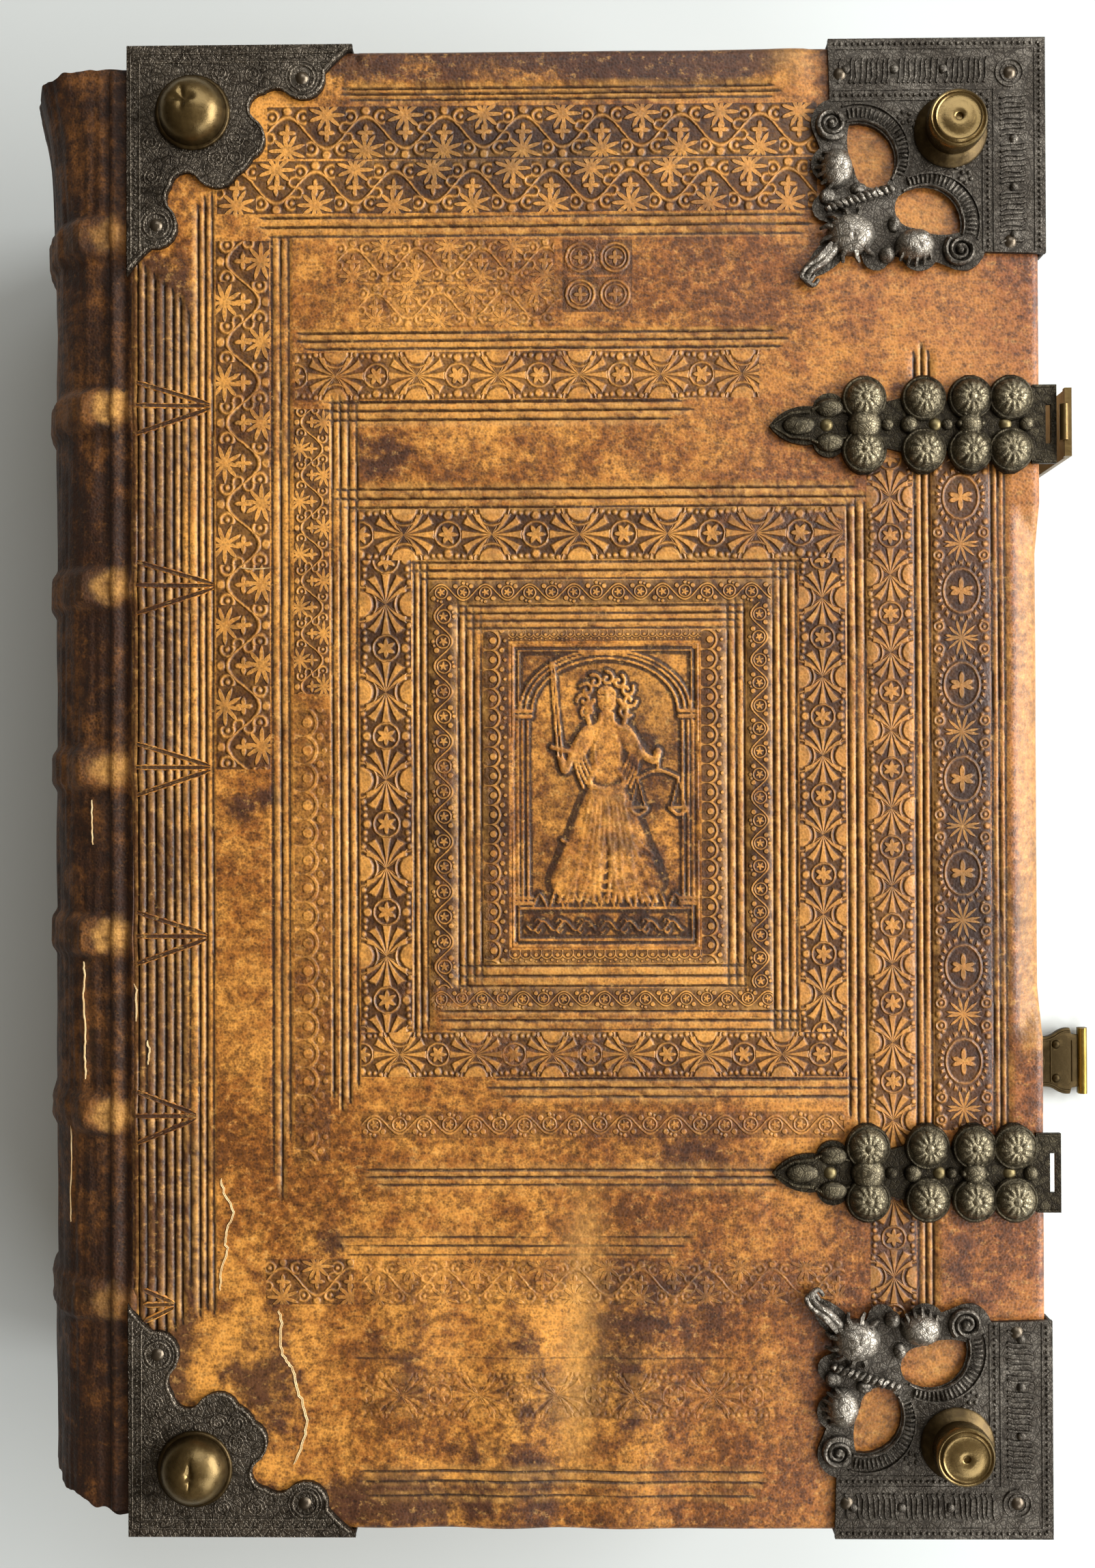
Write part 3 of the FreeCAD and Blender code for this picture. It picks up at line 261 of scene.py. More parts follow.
def foliage(tree, along, across, half_tile):
    """Dense leafy arabesque."""
    turn = put(tree, "ShaderNodeMath", {0: ("MULTIPLY", along, math.pi / half_tile)},
               operation="SINE")
    sign = put(tree, "ShaderNodeMath", {0: turn}, operation="SIGN")
    up = put(tree, "ShaderNodeMath", {0: across, 1: sign}, operation="MULTIPLY")
    side = put(tree, "ShaderNodeMath", {0: ("ABSOLUTE", along), 1: half_tile / 2},
               operation="SUBTRACT")
    spot = put(tree, "ShaderNodeCombineXYZ", {0: side, 1: up})
    low = put(tree, "ShaderNodeMath", {0: up, 1: 0.34}, operation="ADD")
    stem = ("SUBTRACT", ("ABSOLUTE", ("SUBTRACT", up, ("MULTIPLY", ("COSINE", (
        "MULTIPLY", side, math.pi / half_tile)), 0.30))), 0.035)
    return union([stem, burst(tree, low, side, 0.36, 9, 0.32, 0.1), burst(tree, up, side, 0.16, 4, 0.3, 0),
                  ring(tree, spot, 0.30, 0.30, 0.12, 0.03), ring(tree, spot, -0.30, 0.30, 0.12, 0.03),
                  dot(tree, spot, 0.30, 0.30, 0.04), dot(tree, spot, -0.30, 0.30, 0.04),
                  dot(tree, spot, 0.0, 0.42, 0.08), ring(tree, spot, 0.34, -0.10, 0.09, 0.025)])


def medallion(tree, along, across, half_tile):
    """Small beaded ovals with a flower, and leaves and buds between them."""
    side = put(tree, "ShaderNodeMath", {0: along}, operation="ABSOLUTE")
    up = put(tree, "ShaderNodeMath", {0: across}, operation="ABSOLUTE")
    spot = put(tree, "ShaderNodeCombineXYZ", {0: side, 1: up})
    oval = put(tree, "ShaderNodeCombineXYZ", {0: ("MULTIPLY", side, 0.80), 1: up})
    far = put(tree, "ShaderNodeMath", {0: side, 1: half_tile}, operation="SUBTRACT")
    angle = put(tree, "ShaderNodeMath", {0: up, 1: side}, operation="ARCTAN2")
    beads = ("MAXIMUM", ring(tree, oval, 0, 0, 0.40, 0.028),
             ("MULTIPLY", ("SUBTRACT", 0.1, ("COSINE", ("MULTIPLY", angle, 22.0))), 0.04))
    return union([ring(tree, oval, 0, 0, 0.31, 0.012), beads, burst(tree, up, side, 0.23, 5, 0.34, 0.1),
                  burst(tree, up, far, 0.33, 11, 0.42, 0.1),
                  ring(tree, spot, half_tile - 0.2, 0.40, 0.08, 0.018),
                  dot(tree, spot, half_tile - 0.2, 0.40, 0.03), dot(tree, spot, half_tile, 0.44, 0.05),
                  dot(tree, spot, 0.44, 0.44, 0.045), dot(tree, spot, 0.53, 0.36, 0.03)])


ORNAMENTS = {"palmette": (palmette, 1.72), "scroll": (scroll, 1.9), "scallop": (scallop, 0.78),
             "circles": (circles, 1.0), "foliage": (foliage, 1.5), "medallion": (medallion, 1.66)}


def leather(name, ornament=None, light="#DD9842", mid="#A06020", dark="#40241A", red="#94552B",
            glow="#E6B062", redder=True, grain=1.0, dull=0.0):
    """Old calf over boards, blind tooled: tan where it is rubbed, paler where a highlight is painted, dark in
    the grooves, the stains and some painted shade.
    Scales are features per metre: clouds of 60 and 7 mm, specks of 2 mm, and pores of 0.8 mm,
    which are drawn about three times coarser than real ones so that they show."""
    material, tree, shader, place = start_material(name)
    broad = put(tree, "ShaderNodeTexNoise", {"Vector": place, "Scale": 17.0, "Detail": 6.0,
                                             "Roughness": 0.62})
    mottle = put(tree, "ShaderNodeTexNoise", {"Vector": place, "Scale": 150.0, "Detail": 7.0,
                                              "Roughness": 0.68})
    turned = put(tree, "ShaderNodeMapping", {"Vector": place, "Rotation": (0, 0, 0.55),
                                             "Scale": (260.0, 900.0, 400.0)})
    streaks = put(tree, "ShaderNodeTexNoise", {"Vector": turned, "Scale": 1.0, "Detail": 4.0,
                                               "Roughness": 0.6})
    pores = put(tree, "ShaderNodeTexVoronoi", {"Vector": place, "Scale": 1300.0})
    stain = put(tree, "ShaderNodeAttribute", attribute_name="stain").outputs["Fac"]
    inked = put(tree, "ShaderNodeAttribute", attribute_name="inked").outputs["Fac"]
    inked = put(tree, "ShaderNodeMapRange", {0: ("ADD", inked, ("MULTIPLY", ("SUBTRACT", mottle, 0.5), 0.5)),
                                             1: 0.05, 2: 0.42}, interpolation_type="SMOOTHSTEP")
    rubbed = put(tree, "ShaderNodeAttribute", attribute_name="rubbed").outputs["Fac"]
    patch = put(tree, "ShaderNodeMapRange", {0: ("MULTIPLY_ADD", mottle, 0.55, ("MULTIPLY", broad, 0.6)),
                                             1: 0.47, 2: 0.66}, interpolation_type="SMOOTHSTEP")
    tan = put(tree, "ShaderNodeMix", {"Factor": patch, "A": linear(light), "B": linear(mid)},
              data_type="RGBA")
    tan_out = tan.outputs["Result"]
    if redder:
        along = put(tree, "ShaderNodeSeparateXYZ", {0: place})
        right = put(tree, "ShaderNodeMapRange", {0: ("MULTIPLY_ADD", broad, 0.12, along.outputs[0]),
                                                 1: 0.05, 2: 0.17, 4: 0.8})
        tan_out = put(tree, "ShaderNodeMix", {"Factor": right, "A": tan_out, "B": linear(red)},
                      data_type="RGBA").outputs["Result"]
    # Stains darken the leather, and so does the painted shade held with them.
    blot_and_shade = put(tree, "ShaderNodeMapRange", {
        0: ("ADD", ("MULTIPLY_ADD", mottle, 0.8, ("MULTIPLY", broad, 0.35)), ("MULTIPLY", stain, 0.42)),
        1: 0.68, 2: 0.92, 4: 0.88}, interpolation_type="SMOOTHSTEP")
    blotted_and_shaded = put(tree, "ShaderNodeMix", {"Factor": blot_and_shade, "A": tan_out, "B": linear(dark)},
                  data_type="RGBA").outputs["Result"]
    lined = put(tree, "ShaderNodeMix", {"Factor": ("MULTIPLY", inked, 0.92), "A": blotted_and_shaded,
                                        "B": linear("#1F1006")}, data_type="RGBA").outputs["Result"]
    specks = put(tree, "ShaderNodeTexNoise", {"Vector": place, "Scale": 430.0, "Detail": 5.0,
                                              "Roughness": 0.75})
    dusty = put(tree, "ShaderNodeMapRange", {0: ("MULTIPLY_ADD", broad, 0.5, ("MULTIPLY", specks, 0.8)),
                                             1: 0.58, 2: 0.78, 4: 0.74}, interpolation_type="SMOOTHSTEP")
    glint = put(tree, "ShaderNodeMapRange", {0: ("MULTIPLY_ADD", streaks, 0.45, ("MULTIPLY", specks, 0.8)),
                                             1: 0.58, 2: 0.46, 4: 0.42}, interpolation_type="SMOOTHSTEP")
    lined = put(tree, "ShaderNodeMix", {"Factor": glint, "A": lined, "B": linear(glow)},
                data_type="RGBA").outputs["Result"]
    lined = put(tree, "ShaderNodeMix", {"Factor": dusty, "A": lined, "B": linear("#3C1F08")},
                data_type="RGBA").outputs["Result"]
    fleck = put(tree, "ShaderNodeMapRange", {
        0: ("MULTIPLY_ADD", streaks, 0.7, ("MULTIPLY", pores.outputs[0], 0.4)),
        1: 0.30, 2: 0.62, 3: 0.38, 4: 1.14})
    shaded = put(tree, "ShaderNodeVectorMath", {0: lined, "Scale": fleck}, operation="SCALE")
    colour = shaded.outputs[0]
    relief = ("ADD", ("MULTIPLY", ("ADD", streaks, specks), 0.16 * grain),
              ("ADD", ("MULTIPLY", pores.outputs[0], 0.16 * grain), ("MULTIPLY", mottle, 0.34 * grain)))
    if ornament:
        shape, tile = ORNAMENTS[ornament]
        flat = put(tree, "ShaderNodeUVMap", uv_map="tile")
        wobble = put(tree, "ShaderNodeTexNoise", {"Vector": place, "Scale": 700.0, "Detail": 1.0})
        strip = put(tree, "ShaderNodeSeparateXYZ", {0: flat})
        along = put(tree, "ShaderNodeMath", {0: strip.outputs[0], 1: tile, 2: 0.0}, operation="WRAP")
        along = put(tree, "ShaderNodeMath", {0: along, 1: tile / 2 + 0.02}, operation="SUBTRACT")
        along = put(tree, "ShaderNodeMath", {0: ("MULTIPLY", wobble, 0.04), 1: along}, operation="ADD")
        across = put(tree, "ShaderNodeMath", {0: strip.outputs[1], 1: 0.5}, operation="SUBTRACT")
        edge = shape(tree, along, across, tile / 2)
        worn = put(tree, "ShaderNodeMapRange", {
            0: ("SUBTRACT", ("MULTIPLY_ADD", broad, 0.8, ("MULTIPLY", mottle, 0.4)),
                ("MULTIPLY", stain, 0.2)),
            1: 0.80, 2: 0.62}, interpolation_type="SMOOTHSTEP")
        force = put(tree, "ShaderNodeAttribute", attribute_name="force").outputs["Fac"]
        force = put(tree, "ShaderNodeMath", {0: force, 1: worn}, operation="MULTIPLY")
        raised = put(tree, "ShaderNodeMapRange", {0: edge, 1: 0.030, 2: -0.030},
                     interpolation_type="SMOOTHSTEP")
        sunk = put(tree, "ShaderNodeMath", {0: force, 1: ("SUBTRACT", 1.0, raised)},
                   operation="MULTIPLY")
        ridge = put(tree, "ShaderNodeMath", {0: force, 1: raised}, operation="MULTIPLY")
        colour = put(tree, "ShaderNodeMix", {"Factor": ("MULTIPLY", ridge, 0.34), "A": colour,
                                             "B": linear("#E2A552")}, data_type="RGBA").outputs["Result"]
        colour = put(tree, "ShaderNodeMix", {"Factor": ("MULTIPLY", sunk, 0.86), "A": colour,
                                             "B": linear("#2A1608")}, data_type="RGBA").outputs["Result"]
        relief = ("SUBTRACT", relief, ("MULTIPLY", sunk, 0.9))
    # Rubbed leather turns pale gold; the same mix paints the highlights on the fore-edge bevel and the
    # wrinkle crests.
    bare = put(tree, "ShaderNodeMapRange", {0: ("MULTIPLY_ADD", specks, 0.6, ("MULTIPLY", streaks, 0.4)),
                                            1: 0.42, 2: 0.62, 3: 1.0, 4: 0.30})
    bright = put(tree, "ShaderNodeMix", {"Factor": ("MULTIPLY", rubbed, bare), "A": colour,
                                         "B": linear("#D9A052")}, data_type="RGBA").outputs["Result"]
    tree.links.new(bright, shader.inputs["Base Color"])
    rough = put(tree, "ShaderNodeMapRange", {0: ("MULTIPLY_ADD", mottle, 0.6, ("MULTIPLY", streaks, 0.5)),
                                             1: 0.3, 2: 0.9, 3: 0.36 + dull, 4: 0.62 + dull})
    tree.links.new(rough.outputs[0], shader.inputs["Roughness"])
    shader.inputs["IOR"].default_value = 1.5
    bump = put(tree, "ShaderNodeBump", {"Height": relief, "Strength": 1.0, "Distance": 0.0005})
    tree.links.new(bump.outputs[0], shader.inputs["Normal"])
    return material


def bronze(name, dark, worn, low, high, rough=0.42, engraved=0.0, metal=0.85):
    """Old cast metal: dark in the hollows, rubbed paler between two heights (mm). Engraving is drawn
    as cells of 1 and 2.6 mm, about three times coarser than chased lines, so that it shows."""
    material, tree, shader, place = start_material(name)
    height = put(tree, "ShaderNodeSeparateXYZ", {0: place}).outputs[2]
    grime = put(tree, "ShaderNodeTexNoise", {"Vector": place, "Scale": 420.0, "Detail": 6.0,
                                             "Roughness": 0.65})
    cloud = put(tree, "ShaderNodeTexNoise", {"Vector": place, "Scale": 60.0, "Detail": 3.0})
    rub = put(tree, "ShaderNodeMapRange", {
        0: ("MULTIPLY_ADD", ("SUBTRACT", ("MULTIPLY_ADD", grime, 0.7, ("MULTIPLY", cloud, 0.5)), 0.6),
            (high - low) * 0.001 * 1.6, height), 1: low * 0.001, 2: high * 0.001})
    colour = put(tree, "ShaderNodeMix", {"Factor": rub, "A": linear(dark), "B": linear(worn)},
                 data_type="RGBA").outputs["Result"]
    relief = ("MULTIPLY", grime, 0.5)
    if engraved:
        cells = put(tree, "ShaderNodeTexVoronoi", {"Vector": place, "Scale": 1000.0},
                    feature="DISTANCE_TO_EDGE")
        lines = put(tree, "ShaderNodeTexVoronoi", {"Vector": place, "Scale": 380.0},
                    feature="DISTANCE_TO_EDGE")
        nearest = ("MINIMUM", cells.outputs[0], ("MULTIPLY", lines.outputs[0], 1.2))
        cut = put(tree, "ShaderNodeMapRange", {0: nearest, 1: 0.02, 2: 0.12, 3: 0.0, 4: 1.0})
        relief = ("MULTIPLY_ADD", cut, engraved, relief)
        colour = put(tree, "ShaderNodeMix", {"Factor": ("MULTIPLY", ("SUBTRACT", 1.0, cut), 0.55),
                                             "A": colour, "B": linear("#14110E")},
                     data_type="RGBA").outputs["Result"]
    tree.links.new(colour, shader.inputs["Base Color"])
    shader.inputs["Metallic"].default_value = metal
    polish = put(tree, "ShaderNodeMapRange", {0: ("SUBTRACT", grime, ("MULTIPLY", rub, 0.25)), 1: 0.2,
                                              2: 0.8, 3: rough - 0.12, 4: rough + 0.2})
    tree.links.new(polish.outputs[0], shader.inputs["Roughness"])
    bump = put(tree, "ShaderNodeBump", {"Height": relief, "Strength": 0.7, "Distance": 0.00025})
    tree.links.new(bump.outputs[0], shader.inputs["Normal"])
    return material


def fibre(name, light, dark, scale, rough=0.8):
    """Paper, wood, linen or thread: streaks per metre along each axis, over clouds of 45 mm."""
    material, tree, shader, place = start_material(name)
    drawn = put(tree, "ShaderNodeMapping", {"Vector": place, "Scale": scale})
    streaks = put(tree, "ShaderNodeTexNoise", {"Vector": drawn, "Scale": 1.0, "Detail": 5.0,
                                               "Roughness": 0.6})
    cloud = put(tree, "ShaderNodeTexNoise", {"Vector": place, "Scale": 22.0, "Detail": 5.0,
                                             "Roughness": 0.6})
    mixed = put(tree, "ShaderNodeMapRange", {0: ("MULTIPLY_ADD", streaks, 0.75, ("MULTIPLY", cloud, 0.45)),
                                             1: 0.38, 2: 0.80})
    colour = put(tree, "ShaderNodeMix", {"Factor": mixed, "A": linear(light), "B": linear(dark)},
                 data_type="RGBA")
    tree.links.new(colour.outputs["Result"], shader.inputs["Base Color"])
    shader.inputs["Roughness"].default_value = rough
    bump = put(tree, "ShaderNodeBump", {"Height": streaks, "Strength": 0.8, "Distance": 0.0004})
    tree.links.new(bump.outputs[0], shader.inputs["Normal"])
    return material


# Tanned calf, tooled with hot lines: a dull shine, tan on the ridges and near black in the lines, with
# painted highlights on the fore-edge bevel and the wrinkle crests
leather_plain = leather("calf leather, blind tooled and worn")
# The same calf under a hot roll: raised figures stay tan and smooth on a darkened ground
leather_rolls = {name: leather("calf leather, stamped with a %s roll" % name, ornament=name)
                 for name in ORNAMENTS}
# Calf that flexed and took the light for centuries: dark, dry and rough
leather_spine = leather("calf leather of the spine, dark and cracked", light="#7C4D1E", mid="#552F0E",
                        dark="#281303", glow="#8A5A28", redder=False, grain=1.6, dull=0.22)
# Calf that slid on shelves: browner, less polished
leather_back = leather("calf leather of the back cover, rubbed by the table", light="#9A6631",
                       mid="#683F1B", dark="#2C1608", glow="#A87840", redder=False, dull=0.1)
# Torn calf: pale, matt fibres
raw_leather = fibre("split leather, raw fibres", "#F2DCA8", "#C9A066", (900, 300, 400))
# Hammered nails: near black with small soft highlights
nail_metal = bronze("nail heads of dark bronze", "#1E1A15", "#6E6353", 0.0, 130.0, rough=0.4)
# Sheet bronze, chased all over: black lines in a dull grey ground, paler on its raised beads and rims, partly
# wear and partly a painted highlight for the glint of the scalloped edge
plate_small = bronze("bronze plate, engraved and nearly black", "#3E372D", "#9A8F7E", 103.9, 104.7,
                     engraved=0.7)
# Cast bronze: dark in the hollows, grey and brighter on the relief that hands rubbed
plate_large = bronze("bronze plate, cast relief", "#504A41", "#BAB2A3", 103.9, 108.6, rough=0.5,
                     engraved=0.35)
# Plain sheet: even and dark
plate_back = bronze("bronze plate of the back cover", "#34302A", "#6B6258", 4.0, 7.6)
# Cast bronze with a green tinge: soft highlights on the domes
catch_metal = bronze("cast catch, greenish brown", "#302A1E", "#958A6E", 104.2, 107.6, rough=0.46,
                     engraved=0.3)
# Turned brass, tarnished olive: brighter towards its rubbed top
boss_metal = bronze("turned brass boss, rubbed on top", "#40331D", "#806B43", 104.4, 113.0, rough=0.34)
# Riveted brass wire, dulled: small pale heads
rivet_metal = bronze("rivet heads of dull brass", "#5C5033", "#A5966A", 104.0, 107.0, rough=0.42)
# Turned brass that stood on tables: worn bright at its foot
rest_metal = bronze("brass boss of the back cover, worn flat", "#46341C", "#8E744C", 5.0, 0.0, rough=0.35)
# Cast brass, tarnished: dark olive brown
clasp_metal = bronze("clasp of dark brass", "#33270F", "#75603A", 0.0, 90.0)
# Drawn brass that kept rubbing: yellow with clear highlights
bright_metal = bronze("brass pins and nails, rubbed bright", "#8C7434", "#D2B868", 0.0, 100.0, rough=0.3)
# Cut leaves, browned by dust: fine streaks along the block, each about as thick as a leaf
paper_edges = fibre("browned paper edges", "#C9AE80", "#7E6038", (60, 60, 5200))
# Rag paper: matt and cloudy with a faint grain
paper_inner = fibre("laid paper, foxed", "#D3BD90", "#A58755", (90, 700, 90))
# Planed oak: long dark grain
board_wood = fibre("oak board, aged", "#7D5A35", "#3F2A16", (300, 40, 300))
# Woven and glued linen, twisted hemp and wound thread: matt and finely streaked
linen = fibre("linen lining", "#9C8560", "#5D4A2E", (900, 900, 900))
hemp = fibre("hemp cord", "#A58A5C", "#5C4526", (1500, 500, 500))
thread = fibre("linen thread of the endbands", "#B5986A", "#5F4524", (300, 300, 1600))


def finish_piece(name, bm, body, materials, replaces=(), smooth=True, between=None):
    """Scale a mesh from mm, weld it and let it ride on its body."""
    bmesh.ops.remove_doubles(bm, verts=bm.verts, dist=0.0005)
    bmesh.ops.recalc_face_normals(bm, faces=bm.faces)
    bmesh.ops.scale(bm, vec=(0.001, 0.001, 0.001), verts=bm.verts)
    mesh = bpy.data.meshes.new(name)
    bm.to_mesh(mesh)
    bm.free()
    for material in materials:
        mesh.materials.append(material)
    if smooth:
        mesh.shade_smooth()
        mesh.set_sharp_from_angle(angle=math.radians(smooth if smooth is not True else 50))
    piece = bpy.data.objects.new(name, mesh)
    bpy.context.scene.collection.objects.link(piece)
    if between:
        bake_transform(piece, *between)
    else:
        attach(piece, body)
    if replaces:
        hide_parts(*replaces)


def spaced(marks, low, high, step):
    """Sorted places with no gap wider than the step."""
    marks = sorted({round(m, 3) for m in marks if low <= m <= high} | {low, high})
    kept = [marks[0]]
    for mark in marks[1:]:
        if mark - kept[-1] > 0.12 or mark == high:
            kept.append(mark)
    places = [kept[0]]
    for a, b in zip(kept, kept[1:]):
        count = max(1, math.ceil((b - a) / step - 0.2))
        places += [a + (b - a) * i / count for i in range(1, count + 1)]
    return places


def grid(bm, xs, ys):
    """A grid of faces whose lines stand at xs and ys. Returns its vertices as [i][j]."""
    made = bmesh.ops.create_grid(bm, x_segments=len(xs) - 1, y_segments=len(ys) - 1, size=1.0)
    table = [[None] * len(ys) for _ in xs]
    for vert in made["verts"]:
        i = round((vert.co.x + 1) / 2 * (len(xs) - 1))
        j = round((vert.co.y + 1) / 2 * (len(ys) - 1))
        vert.co.x, vert.co.y = xs[i], ys[j]
        table[i][j] = vert
    return table


def layers(bm, *names):
    """Named values kept at each vertex."""
    for name in names:
        bm.verts.layers.float.new(name)
    return [bm.verts.layers.float[name] for name in names]


def soft(a, b, value):
    """0 below a, 1 above b, smooth between; arrays too."""
    t = np.clip((value - a) / (b - a), 0, 1)
    return t * t * (3 - 2 * t)


def pads(x, y):
    """How far the leather over the bands is rubbed bare beside the joint, by place."""
    share = 0.0
    for band, bare in zip(BANDS, (0.45, 1.0, 0.8, 0.85, 1.0, 0.85, 0.3)):
        away = math.hypot((y - band) / 4.6, (x + 4.8) / 6.0)
        away += 0.35 * noise.noise(Vector((x * 0.30, y * 0.30, 11.0)))
        share = max(share, bare * (1.0 - soft(0.55, 1.15, away)))
    return share


def swell(x, y):
    """Soft unevenness of the front cover in mm, by place from the joint and the head."""
    broad = noise.noise(Vector((x * 0.014, y * 0.014, 3.1))) * 0.5
    small = noise.noise(Vector((x * 0.055, y * 0.055, 8.7))) * 0.22
    waves = 0.0
    if y > 300:
        strength = min(1.0, (y - 300) / 50)
        waves = 0.55 * strength * math.sin(x * 0.19 + 0.02 * y) * math.exp(-((x - 110) / 45) ** 2)
    lumps = 0.8 * math.exp(-((x - 178) / 7) ** 2 - ((y - 4) / 8) ** 2)
    for band in BANDS:
        d = math.hypot((y - band) / 5.0, (x - 1.0) / 9.0)
        lumps += 1.0 * math.exp(-d * d)
    return broad + small + waves + lumps


def under_metal(x, y):
    """1 where a plate lies on the leather, 0 away from it."""
    edge = min(y, COVER_H - y)
    near_joint = x + edge < 66 and x < 62 and edge < 62
    near_fore = (COVER_W - x) < 62 and edge < 66
    catch = (COVER_W - x) < 74 and (abs(y - 101.5) < 15 or abs(y - 299.0) < 15)
    return 1.0 if near_joint or near_fore or catch else 0.0


def edge_drop(x, y, radius=2.4):
    """How far the rounded edges of a cover fall below its face."""
    total = 0.0
    for inside in (x, COVER_W - x, y, COVER_H - y):
        over = max(0.0, radius - inside)
        total += radius - math.sqrt(max(0.0, radius * radius - over * over))
    return total


def bevel_drop(x, y):
    """Bevel along the fore-edge between two sloping stops."""
    start, top, bottom = BEVEL
    across = min(1.0, max(0.0, (x - start) / (COVER_W - start)))
    stop = min(1.0, max(0.0, min(y - top, bottom - y) / BEVEL_STOP))
    return BEVEL_DEPTH * min(across, stop)


def front_leather():
    """Leather of the front cover, turned over its edges, with lines, rolls, wear, stains, painted highlights
    and some painted shade.
    """
    marks_x = [BEVEL[0], PANEL[0], PANEL[1], 240.6, 241.4, 242.1, 242.6, 242.9, 0.15, 0.5, 1.0, 1.7, 2.4]
    marks_y = [BEVEL[1], BEVEL[1] + 6, BEVEL[2], BEVEL[2] - 6, PANEL[2], PANEL[3]]
    for r in (0.1, 0.4, 0.9, 1.6, 2.4):
        marks_y += [r, COVER_H - r]
    for place, start, end, strength in DOWN_LINES:
        marks_x += [place - GROOVE_HALF, place, place + GROOVE_HALF]
    for place, start, end, strength in ACROSS_LINES:
        marks_y += [place - GROOVE_HALF, place, place + GROOVE_HALF]
    for ornament, x0, x1, y0, y1, strength in ROLLS:
        marks_x += [x0, x1]
        marks_y += [y0, y1]
    xs, ys = spaced(marks_x, 0, COVER_W, 2.0), spaced(marks_y, 0, COVER_H, 2.0)
    bm = bmesh.new()
    inked, stain, rubbed, force = layers(bm, "inked", "stain", "rubbed", "force")
    tile = bm.loops.layers.uv.new("tile")
    table = grid(bm, xs, ys)

    def groove(place, along, lines):
        """Depth share and ink of a groove at this point."""
        best = crest = 0.0
        for line, start, end, strength in lines:
            if abs(place - line) < GROOVE_HALF + 0.02:
                reach = min(soft(start - 1.5, start + 1.5, along), soft(-end - 1.5, -end + 1.5, -along))
                worn = noise.noise(Vector((line * 0.9, along * 0.035, 2.0))) + 0.35
                depth = reach * strength * min(1.15, max(0.25, 0.75 + worn))
                if abs(place - line) < 0.02:
                    best = max(best, depth)
                else:
                    crest = max(crest, depth)
        return best, crest

    for i, x in enumerate(xs):
        for j, y in enumerate(ys):
            vert = table[i][j]
            down, across = groove(x, y, DOWN_LINES), groove(y, x, ACROSS_LINES)
            cut, crest_of_line = max(down[0], across[0]), max(down[1], across[1])
            metal = under_metal(x, y)
            height = swell(x, y)
            height = min(height, 0.0) - 0.05 if metal else height
            height -= edge_drop(x, y) + bevel_drop(x, y) + GROOVE_DEPTH * cut
            if PANEL[0] < x < PANEL[1] and PANEL[2] < y < PANEL[3]:
                height = min(height, 0.0) - 0.9
            vert[inked] = min(1.0, cut)
            # The listed stains, some towards the tail being painted shade, plus darker rims and joint side.
            spots_and_shade = sum(s * math.exp(-((x - cx) / rx) ** 2 - ((y - cy) / ry) ** 2)
                        for cx, cy, rx, ry, s in STAINS_AND_SHADE)
            rim = math.exp(-min(x, COVER_W - x, y, COVER_H - y) / 5.0) * 0.35
            between = 1.0 - 0.45 * max(math.exp(-((y - b) / 9.0) ** 2) for b in BANDS)
            joint_side = (1.0 - soft(6.0, 22.0, x)) * 1.35 * between * soft(50.0, 64.0, y)
            vert[stain] = min(1.6, spots_and_shade + rim + joint_side)
            # Painted highlight and wear: the crests of the wrinkles towards the tail and the fore-edge bevel
            # are painted paler through the rubbed value.
            crest = math.exp(-((x - 122 + 0.05 * (y - 300)) / 5.0) ** 2)
            crest *= soft(296, 318, y) * soft(-384, -366, -y)
            bevel_wear_and_highlight = soft(235.0, 238.0, x) * soft(120, 128, y) * soft(-271, -263, -y)
            head_lump = math.exp(-((x - 178) / 6) ** 2 - ((y - 3) / 7) ** 2)
            beads = max(0.1, 0.55 + 1.3 * noise.noise(Vector((x * 1.1, y * 0.9, 9.0))))
            beads *= 1.0 - 0.7 * min(1.0, joint_side)
            ear = max(math.exp(-((x - COVER_W + a) / 6.5) ** 4 - ((min(y, COVER_H - y) - b) / 6.5) ** 4)
                      for a, b in ((46.0, 29.5), (29.5, 46.0)))
            # The rubbed value holds wear on the bands, ridges, head lump and openings, and the painted
            # highlights on the wrinkle crests and the bevel.
            vert[rubbed] = min(1.0, max(0.6 * pads(x, y), 0.6 * crest, 0.5 * bevel_wear_and_highlight, 0.6 * head_lump,
                                        0.82 * crest_of_line * beads * (1 - cut), 0.35 * ear))
            vert.co = (JOINT + x, HEAD - y, FACE + height)
    bm.verts.ensure_lookup_table()
    names = list(ORNAMENTS)
    for face in bm.faces:
        centre = face.calc_center_median()
        cx, cy = centre.x - JOINT, HEAD - centre.y
        for ornament, x0, x1, y0, y1, strength in ROLLS:
            if x0 < cx < x1 and y0 < cy < y1:
                face.material_index = 1 + names.index(ornament)
                wide = x1 - x0 > y1 - y0
                across = (y1 - y0) if wide else (x1 - x0)
                if ornament == "circles" and x1 - x0 > 12:
                    across = 9.3
                for loop in face.loops:
                    x, y = loop.vert.co.x - JOINT, HEAD - loop.vert.co.y
                    if wide:
                        loop[tile].uv = ((x - x0) / across, (y - y0) / across)
                    else:
                        loop[tile].uv = ((y - y0) / across, (x - x0) / across)
                    loop.vert[force] = max(loop.vert[force], strength)
                break
    edges = [e for e in bm.edges if e.is_boundary]
    for height, inset in ((INNER + 1.2, 0.0), (INNER + 0.3, 0.3), (INNER, 1.2), (INNER, 16.0),
                          (INNER + 0.6, 16.0)):
        made = bmesh.ops.extrude_edge_only(bm, edges=edges)
        edges = [e for e in made["geom"] if isinstance(e, bmesh.types.BMEdge)]
        for vert in [v for v in made["geom"] if isinstance(v, bmesh.types.BMVert)]:
            vert.co.z = height
            vert.co.x = min(max(vert.co.x, JOINT + inset), FORE - inset)
